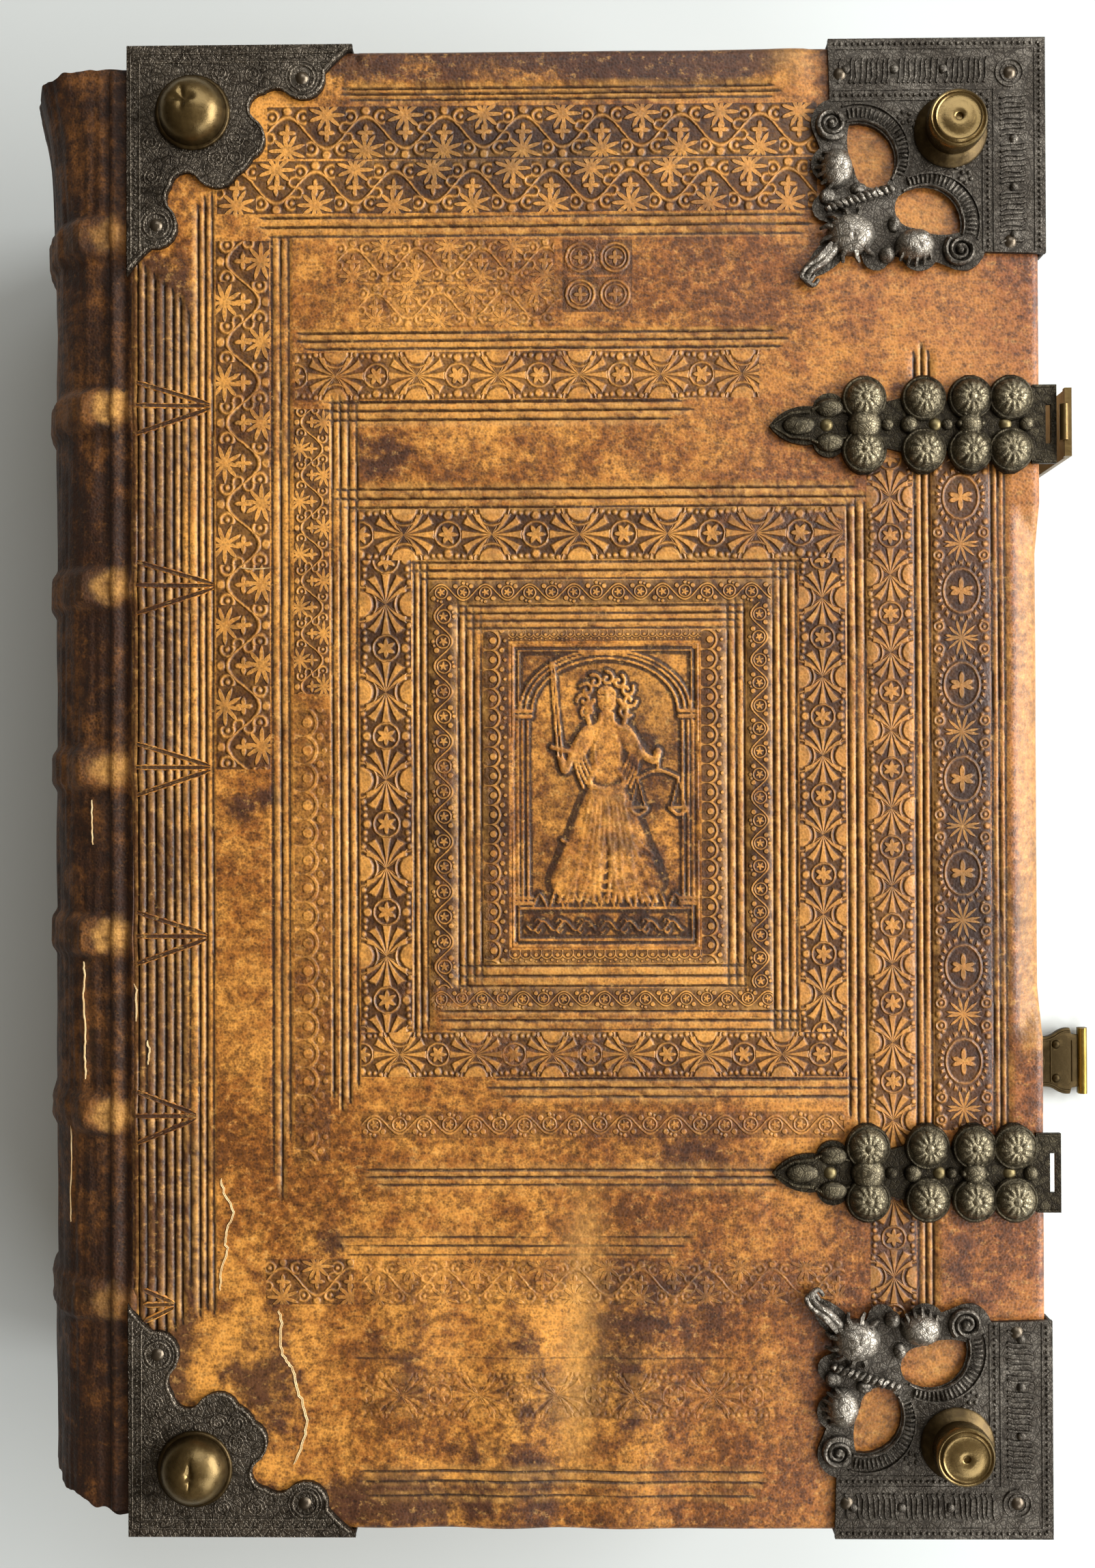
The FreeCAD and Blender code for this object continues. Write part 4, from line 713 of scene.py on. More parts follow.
            vert.co.y = min(max(vert.co.y, TAIL + inset), HEAD - inset)
            vert[inked] = 0.0
            vert[stain] = 0.5
    finish_piece("front_cover_leather", bm, "front_cover",
                 [leather_plain] + [leather_rolls[n] for n in names], replaces=["front_leather"],
                 smooth=75)


def surface(x, y):
    """Height of the front leather between its grooves."""
    return FACE + swell(x, y) - edge_drop(x, y) - bevel_drop(x, y)


def ribbons(name, runs, profile, body, material, place):
    """Narrow strips that follow the leather. A run is its points and its width."""
    bm = bmesh.new()
    inked = layers(bm, "inked", "stain", "rubbed")[0]
    for points, width in runs:
        points = [Vector(p) for p in points]
        table = grid(bm, list(range(len(points))), list(range(len(profile))))
        for k, point in enumerate(points):
            ahead = (points[min(k + 1, len(points) - 1)] - points[max(k - 1, 0)]).normalized()
            side = Vector((-ahead.y, ahead.x))
            taper = min(1.0, 0.25 + 0.75 * min(k, len(points) - 1 - k) / 1.5)
            for vert, (across, rise, ink) in zip(table[k], profile):
                spot = point + side * across * width * taper
                x, y, z = place(spot.x, spot.y)
                vert.co = (x, y, z + rise)
                vert[inked] = ink
    bmesh.ops.recalc_face_normals(bm, faces=bm.faces)
    down = [f for f in bm.faces if f.normal.z < 0]
    bmesh.ops.reverse_faces(bm, faces=down)
    finish_piece(name, bm, body, [material], smooth=80)


def tooled_arrows():
    """Three lines that run from each band to a point on the cover."""
    runs = []
    for number, band in enumerate(BANDS):
        reach = (12, 22, 23, 22, 21, 18, 12)[number]
        for start, end in ((-6.8, -0.5), (-0.2, 0.0), (7.6, 0.7)):
            wide = 1.0 if number not in (0, 6) else 0.6
            first = 1.2 if number not in (0, 6) else 4.0
            runs.append(([(first + (reach - first) * k / 14,
                           band + start * wide + (end - start * wide) * k / 14) for k in range(15)], 1.0))
    profile = [(-0.8, -0.3, 0.0), (-0.5, 0.12, 0.0), (-0.36, 0.06, 1.0), (0.0, 0.0, 1.0), (0.36, 0.06, 1.0),
               (0.5, 0.12, 0.0), (0.8, -0.3, 0.0)]
    ribbons("tooled_arrows", runs, profile, "front_cover", leather_plain,
            lambda x, y: (JOINT + x, HEAD - y, surface(x, y)))


def cracks():
    """Cracks of the cover, where the raw leather shows."""
    marks = [[(24.4, 300.6), (25.6, 304.5), (27.8, 309.7), (26.6, 313), (25.6, 316.6), (26.2, 320),
              (24.6, 325), (24.2, 330.4)],
             [(40.0, 335.3), (40.6, 339), (40.4, 345), (42.0, 349), (43.8, 351.3), (45.0, 357),
              (46.4, 361), (47.3, 366), (46.0, 371), (43.8, 376.4)],
             [(29.5, 138.0), (33.0, 138.6), (38.5, 138.3)], [(4.9, 264.0), (5.4, 267.0), (5.2, 270.5)],
             [(1.6, 249.0), (2.0, 253.0), (1.8, 259.0)]]
    runs = []
    for number, points in enumerate(marks):
        run = curve(points, 4)
        run = [(x + 0.6 * noise.noise(Vector((x, y * 1.3, 0.3))), y) for x, y in run]
        runs.append((run, (0.34, 0.42, 0.22, 0.26, 0.28)[number]))
    profile = [(-1.0, -0.2, 0.0), (-0.55, 0.22, 0.0), (0.0, 0.06, 0.0), (0.55, 0.22, 0.0), (1.0, -0.2, 0.0)]
    ribbons("cracks_in_the_cover", runs, profile, "front_cover", raw_leather,
            lambda x, y: (JOINT + x, HEAD - y, surface(x, y)))


def spine_cracks():
    """Cracks along the spine beside the lower bands."""
    marks = [[(0.0, 243.5), (0.5, 247), (-0.2, 252), (0.6, 258), (1.2, 264), (0.8, 269), (1.6, 275)],
             [(6.5, 200), (6.0, 206), (6.8, 212)], [(-12.0, 288), (-11.0, 297), (-12.4, 306), (-11.8, 314)]]
    runs = []
    for number, points in enumerate(marks):
        run = [(x + 0.8 * noise.noise(Vector((x, y * 0.9, 0.3))), y) for x, y in curve(points, 5)]
        runs.append((run, (0.5, 0.3, 0.32)[number]))

    def on_spine(x, y):
        """A place on the spine's skin, from the offset round it and the distance from the head."""
        sx, sz = spine_point(0.80 + x / 110.0, 0.7)
        return sx, HEAD - y, sz

    profile = [(-1.0, -0.6, 0.0), (-0.5, 0.15, 0.0), (0.0, -0.1, 0.0), (0.5, 0.15, 0.0), (1.0, -0.6, 0.0)]
    ribbons("cracks_in_the_spine", runs, profile, "book_block", raw_leather, on_spine)


# Stamped panel in the middle of the front cover

def stroke_distance(px, py, points):
    """Distance from each grid point to a run of straight strokes."""
    best = np.full(px.shape, 1e9)
    for (ax, ay), (bx, by) in zip(points, points[1:]):
        dx, dy = bx - ax, by - ay
        length = dx * dx + dy * dy + 1e-9
        t = np.clip(((px - ax) * dx + (py - ay) * dy) / length, 0, 1)
        best = np.minimum(best, np.hypot(px - ax - t * dx, py - ay - t * dy))
    return best


def curve(points, steps=6):
    """A smooth run of points through the given ones."""
    full = [points[0]] + list(points) + [points[-1]]
    run = []
    for k in range(1, len(full) - 2):
        p0, p1, p2, p3 = (Vector(p) for p in full[k - 1:k + 3])
        for s in range(steps):
            t = s / steps
            run.append(0.5 * (2 * p1 + (p2 - p0) * t + (2 * p0 - 5 * p1 + 4 * p2 - p3) * t * t
                              + (3 * p1 - p0 - 3 * p2 + p3) * t ** 3))
    run.append(Vector(points[-1]))
    return [(v.x, v.y) for v in run]


def panel_strokes():
    """Strokes of the panel: run of points, half width, height. Measured from its left top corner."""
    strokes = []

    def draw(points, half, rise):
        """Add a stroke: its points, half its width and its height."""
        strokes.append((points, half, rise))

    w, h = PANEL[1] - PANEL[0], PANEL[3] - PANEL[2]
    for inset in (0.5, 1.9):
        draw([(inset, inset), (w - inset, inset), (w - inset, h - inset), (inset, h - inset),
              (inset, inset)], 0.28, 0.55)
    spring = 18.0
    for radius in (22.6, 21.2, 19.4):
        arc = [(w / 2 + radius * math.cos(a), spring - radius * 0.72 * math.sin(a))
               for a in [math.pi * k / 24 for k in range(25)]]
        draw([(x, max(y, 2.4)) for x, y in arc], 0.30, 0.6)
    for x in (2.9, w - 2.9):
        for dx in (-1.4, 0.0, 1.4):
            draw([(x + dx, spring + 2.6), (x + dx, 68.0)], 0.32, 0.6)
        for y in (spring, spring + 1.4, 67.6, 69.0):
            draw([(x - 2.4, y), (x + 2.4, y)], 0.4, 0.75)
    draw([(1.9, 70.4), (w - 1.9, 70.4)], 0.35, 0.6)
    draw([(4.0 + 0.5 * k, 75.0 + 1.3 * math.sin(k * 0.55)) for k in range(84)], 0.26, 0.5)
    for k in range(7):
        x = 6.9 + 5.7 * k
        for drop in (-1.0, 1.0):
            draw(curve([(x - 0.9, 75.0 + drop), (x, 75.0 + drop * 1.9), (x + 0.9, 75.0 + drop)]),
                 0.24, 0.45)
    draw([(1.9, 78.6), (w - 1.9, 78.6)], 0.3, 0.55)
    cx = w / 2 + 0.4
    head = 14.2
    draw([(cx, head - 0.4), (cx, head + 1.6)], 2.1, 0.72)
    draw([(cx, head + 4.0), (cx, head + 7.0)], 1.1, 0.66)
    draw([(cx, head + 10.5), (cx, head + 19.0)], 4.0, 0.62)
    for side in (-1, 1):
        draw([(cx + side * 4.6, head + 9.6), (cx + side * 8.0, head + 15.0)], 2.0, 0.64)
        for reach, low in ((5.0, 50.0), (11.0, 49.0)):
            draw([(cx + side * 2.0, head + 27.0), (cx + side * reach, head + low)], 3.4, 0.58)
    for k in range(9):
        a = math.pi * (0.80 + 1.40 * k / 8)
        x, y = cx + 6.0 * math.cos(a), head + 0.6 + 5.4 * math.sin(a)
        coil = [(x + (2.0 - 0.16 * n) * math.cos(a + n * 0.62), y + (2.0 - 0.16 * n) * math.sin(a + n * 0.62))
                for n in range(11)]
        draw(coil, 0.36, 0.95)
    for side in (-1, 1):
        draw(curve([(cx + side * 3.4, head + 1), (cx + side * 5.2, head + 4),
                    (cx + side * 4.6, head + 7)]), 0.55, 0.85)
        draw(curve([(cx + side * 0.7, head - 1.4), (cx + side * 1.6, head - 1.7),
                    (cx + side * 2.3, head - 1.2)]), 0.14, 0.95)
        draw(curve([(cx + side * 0.9, head - 0.5), (cx + side * 1.5, head - 0.7),
                    (cx + side * 2.0, head - 0.4)]), 0.16, 0.2)
    draw([(cx, head - 1.0), (cx + 0.1, head + 1.2)], 0.22, 1.15)
    draw(curve([(cx - 0.9, head + 2.5), (cx, head + 2.7), (cx + 0.9, head + 2.4)]), 0.16, 0.3)
    for side in (-1, 1):
        draw(curve([(cx + side * 1.5, head + 4.6), (cx + side * 2.2, head + 7.4),
                    (cx + side * 7.0, head + 10.0), (cx + side * 8.8, head + 15.0)]), 0.45, 0.85)
        draw(curve([(cx + side * 1.0, head + 9.0), (cx + side * 3.4, head + 13.5),
                    (cx + side * 2.6, head + 19.0)]), 0.4, 0.85)
        for k in range(4):
            draw(curve([(cx + side * (5.0 + 0.8 * k), head + 9.6 + 0.6 * k),
                        (cx + side * (6.2 + 0.7 * k), head + 15 + k),
                        (cx + side * (3.6 + 0.9 * k), head + 21 + k)]), 0.34, 0.7)
    draw(curve([(cx - 8.8, head + 15), (cx - 11.0, head + 19.5), (cx - 12.0, head + 17.0)]), 0.8, 0.9)
    draw(curve([(cx + 8.8, head + 15), (cx + 12.5, head + 17.0), (cx + 13.6, head + 14.6)]), 0.8, 0.9)
    for dx in (-0.55, 0.55):
        draw([(cx - 12.4 + dx, head + 16), (cx - 14.4 + dx * 0.7, head - 9)], 0.28, 0.9)
    draw([(cx - 14.6, head + 13.4), (cx - 9.8, head + 14.6)], 0.5, 0.95)
    draw([(cx + 13.6, head + 14.6), (cx + 13.6, head + 20)], 0.25, 0.7)
    draw(curve([(cx + 8.2, head + 21.6), (cx + 13.6, head + 19.6), (cx + 19.0, head + 21.6)]), 0.35, 0.85)
    for pan in (8.2, 19.0):
        for dx in (-2.0, 2.0):
            draw([(cx + pan, head + 21.6), (cx + pan + dx, head + 29.6)], 0.18, 0.6)
        draw(curve([(cx + pan - 2.4, head + 29.6), (cx + pan, head + 31.4), (cx + pan + 2.4, head + 29.6),
                    (cx + pan - 2.4, head + 29.6)]), 0.35, 0.9)
    for side in (-1, 1):
        draw(curve([(cx + side * 2.6, head + 19), (cx + side * 4.4, head + 22),
                    (cx + side * 4.0, head + 24)]), 0.5, 0.9)
    draw(curve([(cx - 4.6, head + 23.6), (cx, head + 24.8), (cx + 4.6, head + 23.4)]), 0.55, 0.95)
    for k in range(15):
        s = (k - 7) / 7
        draw(curve([(cx + 4.2 * s, head + 25.4), (cx + 6.4 * s + 0.8 * math.sin(k * 2.1), head + 36),
                    (cx + 9.5 * s + 1.2 * math.cos(k * 1.7), head + 46),
                    (cx + 13.0 * s, head + 54.4)]), 0.42, 0.85)
    for k in range(5):
        draw(curve([(cx - 12 + k * 1.2, head + 38 + 2.6 * k), (cx - 4 + k, head + 42 + 2.4 * k),
                    (cx + 5 + 0.8 * k, head + 37 + 3.0 * k), (cx + 12, head + 42 + 2.0 * k)]), 0.36, 0.8)
    for k in range(9):
        x = cx - 18 + 4.5 * k
        draw(curve([(x - 1.6, 69.6), (x, 66.6 - (k % 2)), (x + 1.8, 69.6)]), 0.3, 0.55)
    return strokes


def stamped_panel():
    """Panel struck with one plate: each stroke stands up from a darkened ground."""
    x0, x1, y0, y1 = PANEL
    xs = list(np.linspace(x0, x1, 131))
    ys = list(np.linspace(y0, y1, 213))
    px, py = np.meshgrid(np.array(xs) - x0, np.array(ys) - y0, indexing="ij")
    height, outline = np.zeros(px.shape), np.zeros(px.shape)
    for points, half, rise in panel_strokes():
        d = stroke_distance(px, py, points)
        if rise > 0.35:
            height = np.maximum(height, rise * (1 - soft(half * 0.5, half * 1.7, d)))
        else:
            height = height - (height - rise) * (1 - soft(half * 0.6, half * 2.0, d))
        outline = np.maximum(outline, 1 - soft(half * 1.4, half * 1.4 + 1.1, d))
    bm = bmesh.new()
    inked, stain, rubbed = layers(bm, "inked", "stain", "rubbed")
    table = grid(bm, xs, ys)
    for i, x in enumerate(xs):
        for j, y in enumerate(ys):
            worn = 0.5 + 0.5 * soft(-0.25, 0.25, noise.noise(Vector((x * 0.06, y * 0.06, 5.0))) + 0.12)
            vert = table[i][j]
            edge = min(px[i][j], py[i][j], x1 - x0 - px[i][j], y1 - y0 - py[i][j])
            up = float(height[i][j]) * worn
            base = min(0.25, swell(x, y)) - 0.42 * soft(0.0, 0.8, edge)
            vert.co = (JOINT + x, HEAD - y, FACE + base + 0.62 * up)
            ground = 0.22 + 0.68 * float(outline[i][j])
            low = float(max(0.0, (0.40 - up) / 0.40))
            vert[inked] = low * ground * min(1.0, worn + 0.1) * soft(0.0, 0.6, edge)
            vert[rubbed] = max(0.0, up - 0.35) * 0.6
            vert[stain] = 0.12 + 0.3 * soft(0.35, 0.8, (x - x0) / (x1 - x0) + 0.2 * (y - y0) / (y1 - y0))
    edges = [e for e in bm.edges if e.is_boundary]
    made = bmesh.ops.extrude_edge_only(bm, edges=edges)
    for vert in [v for v in made["geom"] if isinstance(v, bmesh.types.BMVert)]:
        vert.co.z = FACE - 0.8
    finish_piece("stamped_panel", bm, "front_cover", [leather_plain], smooth=80)


# Spine leather, a skin over bands

def spine_point(turn, out):
    """Place on the rounded spine: turn runs from -1 at the back joint to 1 at the front joint."""
    angle = turn * math.pi / 2
    c, s = math.cos(angle), math.sin(angle)
    x = SPINE_X - (29.0 + out) * abs(c) ** 0.72
    z = MIDDLE + (44.6 + out) * math.copysign(abs(s) ** 0.86, s)
    return x, z


def spine_skin():
    """Leather round the spine: seven bands, bare places, flared head and ragged ends."""
    turns = [-1 + 2 * k / 150 for k in range(151)]
    turns = [math.copysign(abs(t) ** 0.8, t) for t in turns]
    marks = [5.0, 389.5]
    for band in BANDS:
        marks += [band + side * d for side in (-1, 1) for d in (0, 1.5, 3.0, 4.0, 4.8, 5.6, 6.4, 7.5)]
    ys = spaced(marks, 2.6, 391.4, 2.4)
    bm = bmesh.new()
    inked, stain, rubbed = layers(bm, "inked", "stain", "rubbed")
    table = grid(bm, turns, ys)
    for i, turn in enumerate(turns):
        shoulder = math.exp(-((turn - 0.86) / 0.10) ** 2)
        for j, y in enumerate(ys):
            band = 0.0
            for number, centre in enumerate(BANDS):
                full = 1.0 - 0.5 * (number >= 5) * (noise.noise(Vector((turn * 4, y * 0.3, 1.0))) + 0.5)
                band = max(band, full * (1 - soft(3.2, 6.6, abs(y - centre))))
            wear = noise.noise(Vector((turn * 9, y * 0.05, 4.0)))
            ripple = 0.35 * noise.noise(Vector((turn * 26, y * 0.03, 7.0)))
            out = band * (1.5 + 1.6 * shoulder) + ripple + 0.4 * wear
            head_flare = math.exp(-(y - 2.6) / 14.0) * 5.0 * soft(-0.2, 0.4, turn + 0.3)
            out += head_flare * soft(0.0, 0.5, 1 - abs(turn))
            out -= 1.5 * (1 - soft(0.0, 5.0, y - 2.6)) * 0.4
            x, z = spine_point(turn, out)
            away = soft(0.0, 1.0, 1 - abs(turn))
            ragged = noise.noise(Vector((turn * 14, 1.0 + 9 * (y > 200), 0.5)))
            start = 3.4 + 5.4 * away ** 2 + 0.9 * ragged
            end = 390.4 - 9.5 * away ** 0.7 + 1.6 * ragged
            place = y
            if y < 32.6:
                place = start + (y - 2.6) * (32.6 - start) / 30
            if y > 361.4:
                place = end - (391.4 - y) * (end - 361.4) / 30
            table[i][j].co = (x, HEAD - place, min(z, 101.6))
            spot = max(math.exp(-((y - b) / 3.6) ** 2) for b in BANDS)
            table[i][j][rubbed] = 0.95 * pads(x - JOINT, y) + 0.10 * spot * (1 - band * 0.5)
            table[i][j][stain] = 0.5 + 0.15 * (1 - band)
            table[i][j][inked] = 0.42 * math.exp(-((abs(turn) - 0.99) / 0.07) ** 2)
    shell = [f for f in bm.faces]
    bmesh.ops.recalc_face_normals(bm, faces=shell)
    outward = sum(f.normal.x * f.calc_area() for f in shell)
    if outward > 0:
        bmesh.ops.reverse_faces(bm, faces=shell)
    bmesh.ops.solidify(bm, geom=shell, thickness=1.5)
    finish_piece("spine_skin", bm, "book_block", [leather_spine],
                 replaces=["spine_leather"], smooth=70)


def joint_skin(front):
    """Leather between a cover and the spine, which folds as the cover opens."""
    z = FACE if front else BACK_FACE
    sign = 1 if front else -1
    profile = [(2.2, -0.9), (1.2, -0.35), (0.3, -0.8), (-0.5, -1.7), (-1.4, -2.1), (-2.6, -1.7),
               (-3.8, -1.25), (-5.0, -1.5), (-5.6, -2.4)]
    ys = spaced([], 4.5, 389.5, 2.5)
    bm = bmesh.new()
    inked, stain, rubbed = layers(bm, "inked", "stain", "rubbed")
    table = grid(bm, list(range(len(profile))), ys)
    for i, (dx, dz) in enumerate(profile):
        for j, y in enumerate(ys):
            lump = max(math.exp(-((y - b) / 4.6) ** 2) for b in BANDS)
            rise = 1.9 * lump * (1 - abs(dx + 2.2) / 7.0)
            wob = 0.25 * noise.noise(Vector((dx * 0.5, y * 0.08, 6.0)))
            table[i][j].co = (JOINT + dx, HEAD - y, z + sign * (dz + rise + wob))
            table[i][j][stain] = 0.7 - 0.5 * lump
            table[i][j][rubbed] = 0.95 * pads(dx, y)
            table[i][j][inked] = 0.16 * (1 - 0.8 * lump) * (1 - soft(0.2, 2.2, dx))
    faces = [f for f in bm.faces]
    bmesh.ops.recalc_face_normals(bm, faces=faces)
    if sum(f.normal.z for f in faces) * sign < 0:
        bmesh.ops.reverse_faces(bm, faces=faces)
    bmesh.ops.solidify(bm, geom=faces, thickness=0.7)
    name = "front_joint_leather" if front else "back_joint_leather"
    ends = ((JOINT * 0.001 - 0.0048, 0, z * 0.001), (JOINT * 0.001 + 0.0004, 0, z * 0.001))
    pair = ("book_block", "front_cover") if front else ("book_block", "back_cover")
    finish_piece(name, bm, None, [leather_spine], smooth=60, between=pair + ends)


# Leaves

def leaves():
    """Gatherings of the block as thin slabs, uneven at their edges."""
    bm = bmesh.new()
    count = 64
    low, high = 19.85, 91.75
    thick = (high - low) / count
    for k in range(count):
        z = low + thick * (k + 0.5)
        across = 2 * (k + 0.5) / count - 1
        half = math.sqrt(max(0.0, 1 - ((z - MIDDLE) / 42.1) ** 2))
        back = SPINE_X - 22.2 * half
        fore = FORE - 5.0 - 7.0 * (1 - across * across) - abs(dice.gauss(0, 0.28))
        reach = 190.0 - abs(dice.gauss(0, 0.22))
        made = bmesh.ops.create_cube(bm, size=1.0)
        bmesh.ops.scale(bm, vec=(fore - back, 2 * reach, thick * 0.97), verts=made["verts"])
        bmesh.ops.translate(bm, vec=((fore + back) / 2, dice.gauss(0, 0.1), z), verts=made["verts"])
        faces = {f for v in made["verts"] for f in v.link_faces}
        edges = list({e for f in faces for e in f.edges})
        bmesh.ops.bevel(bm, geom=edges, offset=thick * 0.28, segments=1, affect="EDGES", profile=0.5,
                        material=-1)
    for face in bm.faces:
        face.material_index = 1 if abs(face.normal.z) > 0.9 else 0
    finish_piece("leaves", bm, "book_block", [paper_edges, paper_inner],
                 replaces=["text_block"], smooth=30)


# Metal work

def arcs(start, steps, pieces=7):
    """Points along straight runs (x, y) and arcs (mid x, mid y, x, y)."""
    points = [start]
    for step in steps:
        if len(step) == 2:
            points.append(step)
            continue
        a, m, b = Vector(points[-1]), Vector(step[:2]), Vector(step[2:])
        d = 2 * (a.x * (m.y - b.y) + m.x * (b.y - a.y) + b.x * (a.y - m.y))
        if abs(d) < 1e-6:
            points.append(tuple(b))
            continue
        sa, sm, sb = a.length_squared, m.length_squared, b.length_squared
        ux = (sa * (m.y - b.y) + sm * (b.y - a.y) + sb * (a.y - m.y)) / d
        uy = (sa * (b.x - m.x) + sm * (a.x - b.x) + sb * (m.x - a.x)) / d
        centre = Vector((ux, uy))
        radius = (a - centre).length
        a0 = math.atan2(a.y - uy, a.x - ux)
        a1 = math.atan2(m.y - uy, m.x - ux)
        a2 = math.atan2(b.y - uy, b.x - ux)
        turn = (a2 - a0) % (2 * math.pi)
        if (a1 - a0) % (2 * math.pi) > turn:
            turn -= 2 * math.pi
        angles = [a0 + turn * k / pieces for k in range(1, pieces + 1)]
        points += [(ux + radius * math.cos(a), uy + radius * math.sin(a)) for a in angles]
    return points


def circle_points(x, y, radius, count=20):
    """Points round a circle."""
    return [(x + radius * math.cos(2 * math.pi * k / count), y + radius * math.sin(2 * math.pi * k / count))
            for k in range(count)]


def sheet(bm, outline, holes, low, high, bevel=0.18):
    """A flat sheet with holes and softened edges."""
    edges = []
    for run in [outline] + list(holes):
        run = [p for k, p in enumerate(run) if (Vector(p) - Vector(run[k - 1])).length > 0.02]
        verts = [bm.verts.new((x, y, low)) for x, y in run]
        edges += [bm.edges.new((verts[k - 1], verts[k])) for k in range(len(verts))]
    filled = bmesh.ops.triangle_fill(bm, use_beauty=True, use_dissolve=False, edges=edges)
    faces = [g for g in filled["geom"] if isinstance(g, bmesh.types.BMFace)]
    made = bmesh.ops.extrude_face_region(bm, geom=faces)
    top = [g for g in made["geom"] if isinstance(g, bmesh.types.BMVert)]
    for vert in top:
        vert.co.z = high
    bm.normal_update()
    rims = [e for e in {e for v in top for e in v.link_edges}
            if len(e.link_faces) == 2 and abs(e.link_faces[0].normal.z - e.link_faces[1].normal.z) > 0.5
            and e.verts[0].co.z == high and e.verts[1].co.z == high]
    bmesh.ops.bevel(bm, geom=rims, offset=bevel, segments=2, affect="EDGES", profile=0.5, material=-1,
                    clamp_overlap=True)


def turn(bm, profile, x, y, z, steps=40, stretch=(1.0, 1.0)):
    """A turned form from (radius, height) points about an upright axis."""
    verts = [bm.verts.new((r, 0, h)) for r, h in profile]
    edges = [bm.edges.new(pair) for pair in zip(verts, verts[1:])]
    bmesh.ops.spin(bm, geom=verts + edges, cent=(0, 0, 0), axis=(0, 0, 1), angle=2 * math.pi,
                   steps=steps, use_merge=True)
    known = set(verts)
    frontier = list(verts)
    while frontier:
        vert = frontier.pop()
        for edge in vert.link_edges:
            other = edge.other_vert(vert)
            if other not in known:
                known.add(other)
                frontier.append(other)
    for vert in known:
        vert.co = Vector((vert.co.x * stretch[0] + x, vert.co.y * stretch[1] + y, vert.co.z + z))
    bmesh.ops.remove_doubles(bm, verts=list(known), dist=0.003)


def bent_edge(bm, long, wide, x, y):
    """Rim of a corner plate, bent down over the edge of the board."""
    made = bmesh.ops.create_cube(bm, size=1.0)
    bmesh.ops.scale(bm, vec=(long, wide, 6.0), verts=made["verts"])
    bmesh.ops.translate(bm, vec=(x, y, -1.95), verts=made["verts"])
    edges = list({e for v in made["verts"] for e in v.link_edges})
    bmesh.ops.bevel(bm, geom=edges, offset=0.35, segments=2, affect="EDGES", profile=0.5, material=-1)


def wire(bm, points, radius, closed=False, flat=1.0, sides=3):
    """A round bead along a run of points; radius may change along it."""
    data = bpy.data.curves.new("run", "CURVE")
    data.dimensions = "3D"
    data.bevel_depth = 1.0
    data.bevel_resolution = sides
    data.use_fill_caps = True
    spline = data.splines.new("POLY")
    spline.points.add(len(points) - 1)
    spline.use_cyclic_u = closed
    for k, point in enumerate(points):
        spline.points[k].co = tuple(point) + (1.0,)
        spline.points[k].radius = radius(k / max(1, len(points) - 1)) if callable(radius) else radius
    holder = bpy.data.objects.new("run", data)
    bpy.context.scene.collection.objects.link(holder)
    mesh = bpy.data.meshes.new_from_object(holder.evaluated_get(bpy.context.evaluated_depsgraph_get()))
    before = set(bm.verts)
    bm.from_mesh(mesh)
    base = points[0][2]
    for vert in set(bm.verts) - before:
        vert.co.z = base + (vert.co.z - base) * flat
    bpy.data.objects.remove(holder)
    bpy.data.curves.remove(data)
    bpy.data.meshes.remove(mesh)


def dome(bm, x, y, z, radius, rise, stretch=(1.0, 1.0), steps=20, rings=5):
    """A low bulge."""
    profile = [(radius * math.cos(math.pi / 2 * k / rings), rise * math.sin(math.pi / 2 * k / rings))
               for k in range(rings + 1)]
    profile[-1] = (0.0, rise)
    turn(bm, [(radius, -0.3)] + profile, x, y, z, steps, stretch)


def placed(bm, spine_side, head_side):
    """Move a corner piece, drawn with +X and +Y running in from both edges, to its corner."""
    for vert in bm.verts:
        vert.co.x *= 1 if spine_side else -1
        vert.co.y *= -1 if head_side else 1
    place = (JOINT if spine_side else FORE, HEAD if head_side else TAIL, FACE)
    bmesh.ops.translate(bm, vec=place, verts=bm.verts)


def scalloped_outline():
    """Inner edge of a small plate: points and lobes, the same either side of its diagonal."""
    half = [(56.4, 3.2, 53.2, 6.6), (49.8, 13.2, 42.8, 11.6), (39.4, 10.8, 36.9, 11.9),
            (33.0, 15.2, 34.4, 19.4), (37.2, 24.6, 33.8, 29.4)]
    points = [(60.4, 0.0)] + [s[-2:] for s in half]
    steps = list(half) + [(32.0, 32.0, 29.4, 33.8)]
    for k in reversed(range(len(half))):
        mid, end = half[k][:2], points[k]
        steps.append((mid[1], mid[0], end[1], end[0]))
    return arcs((60.4, 0.0), steps)


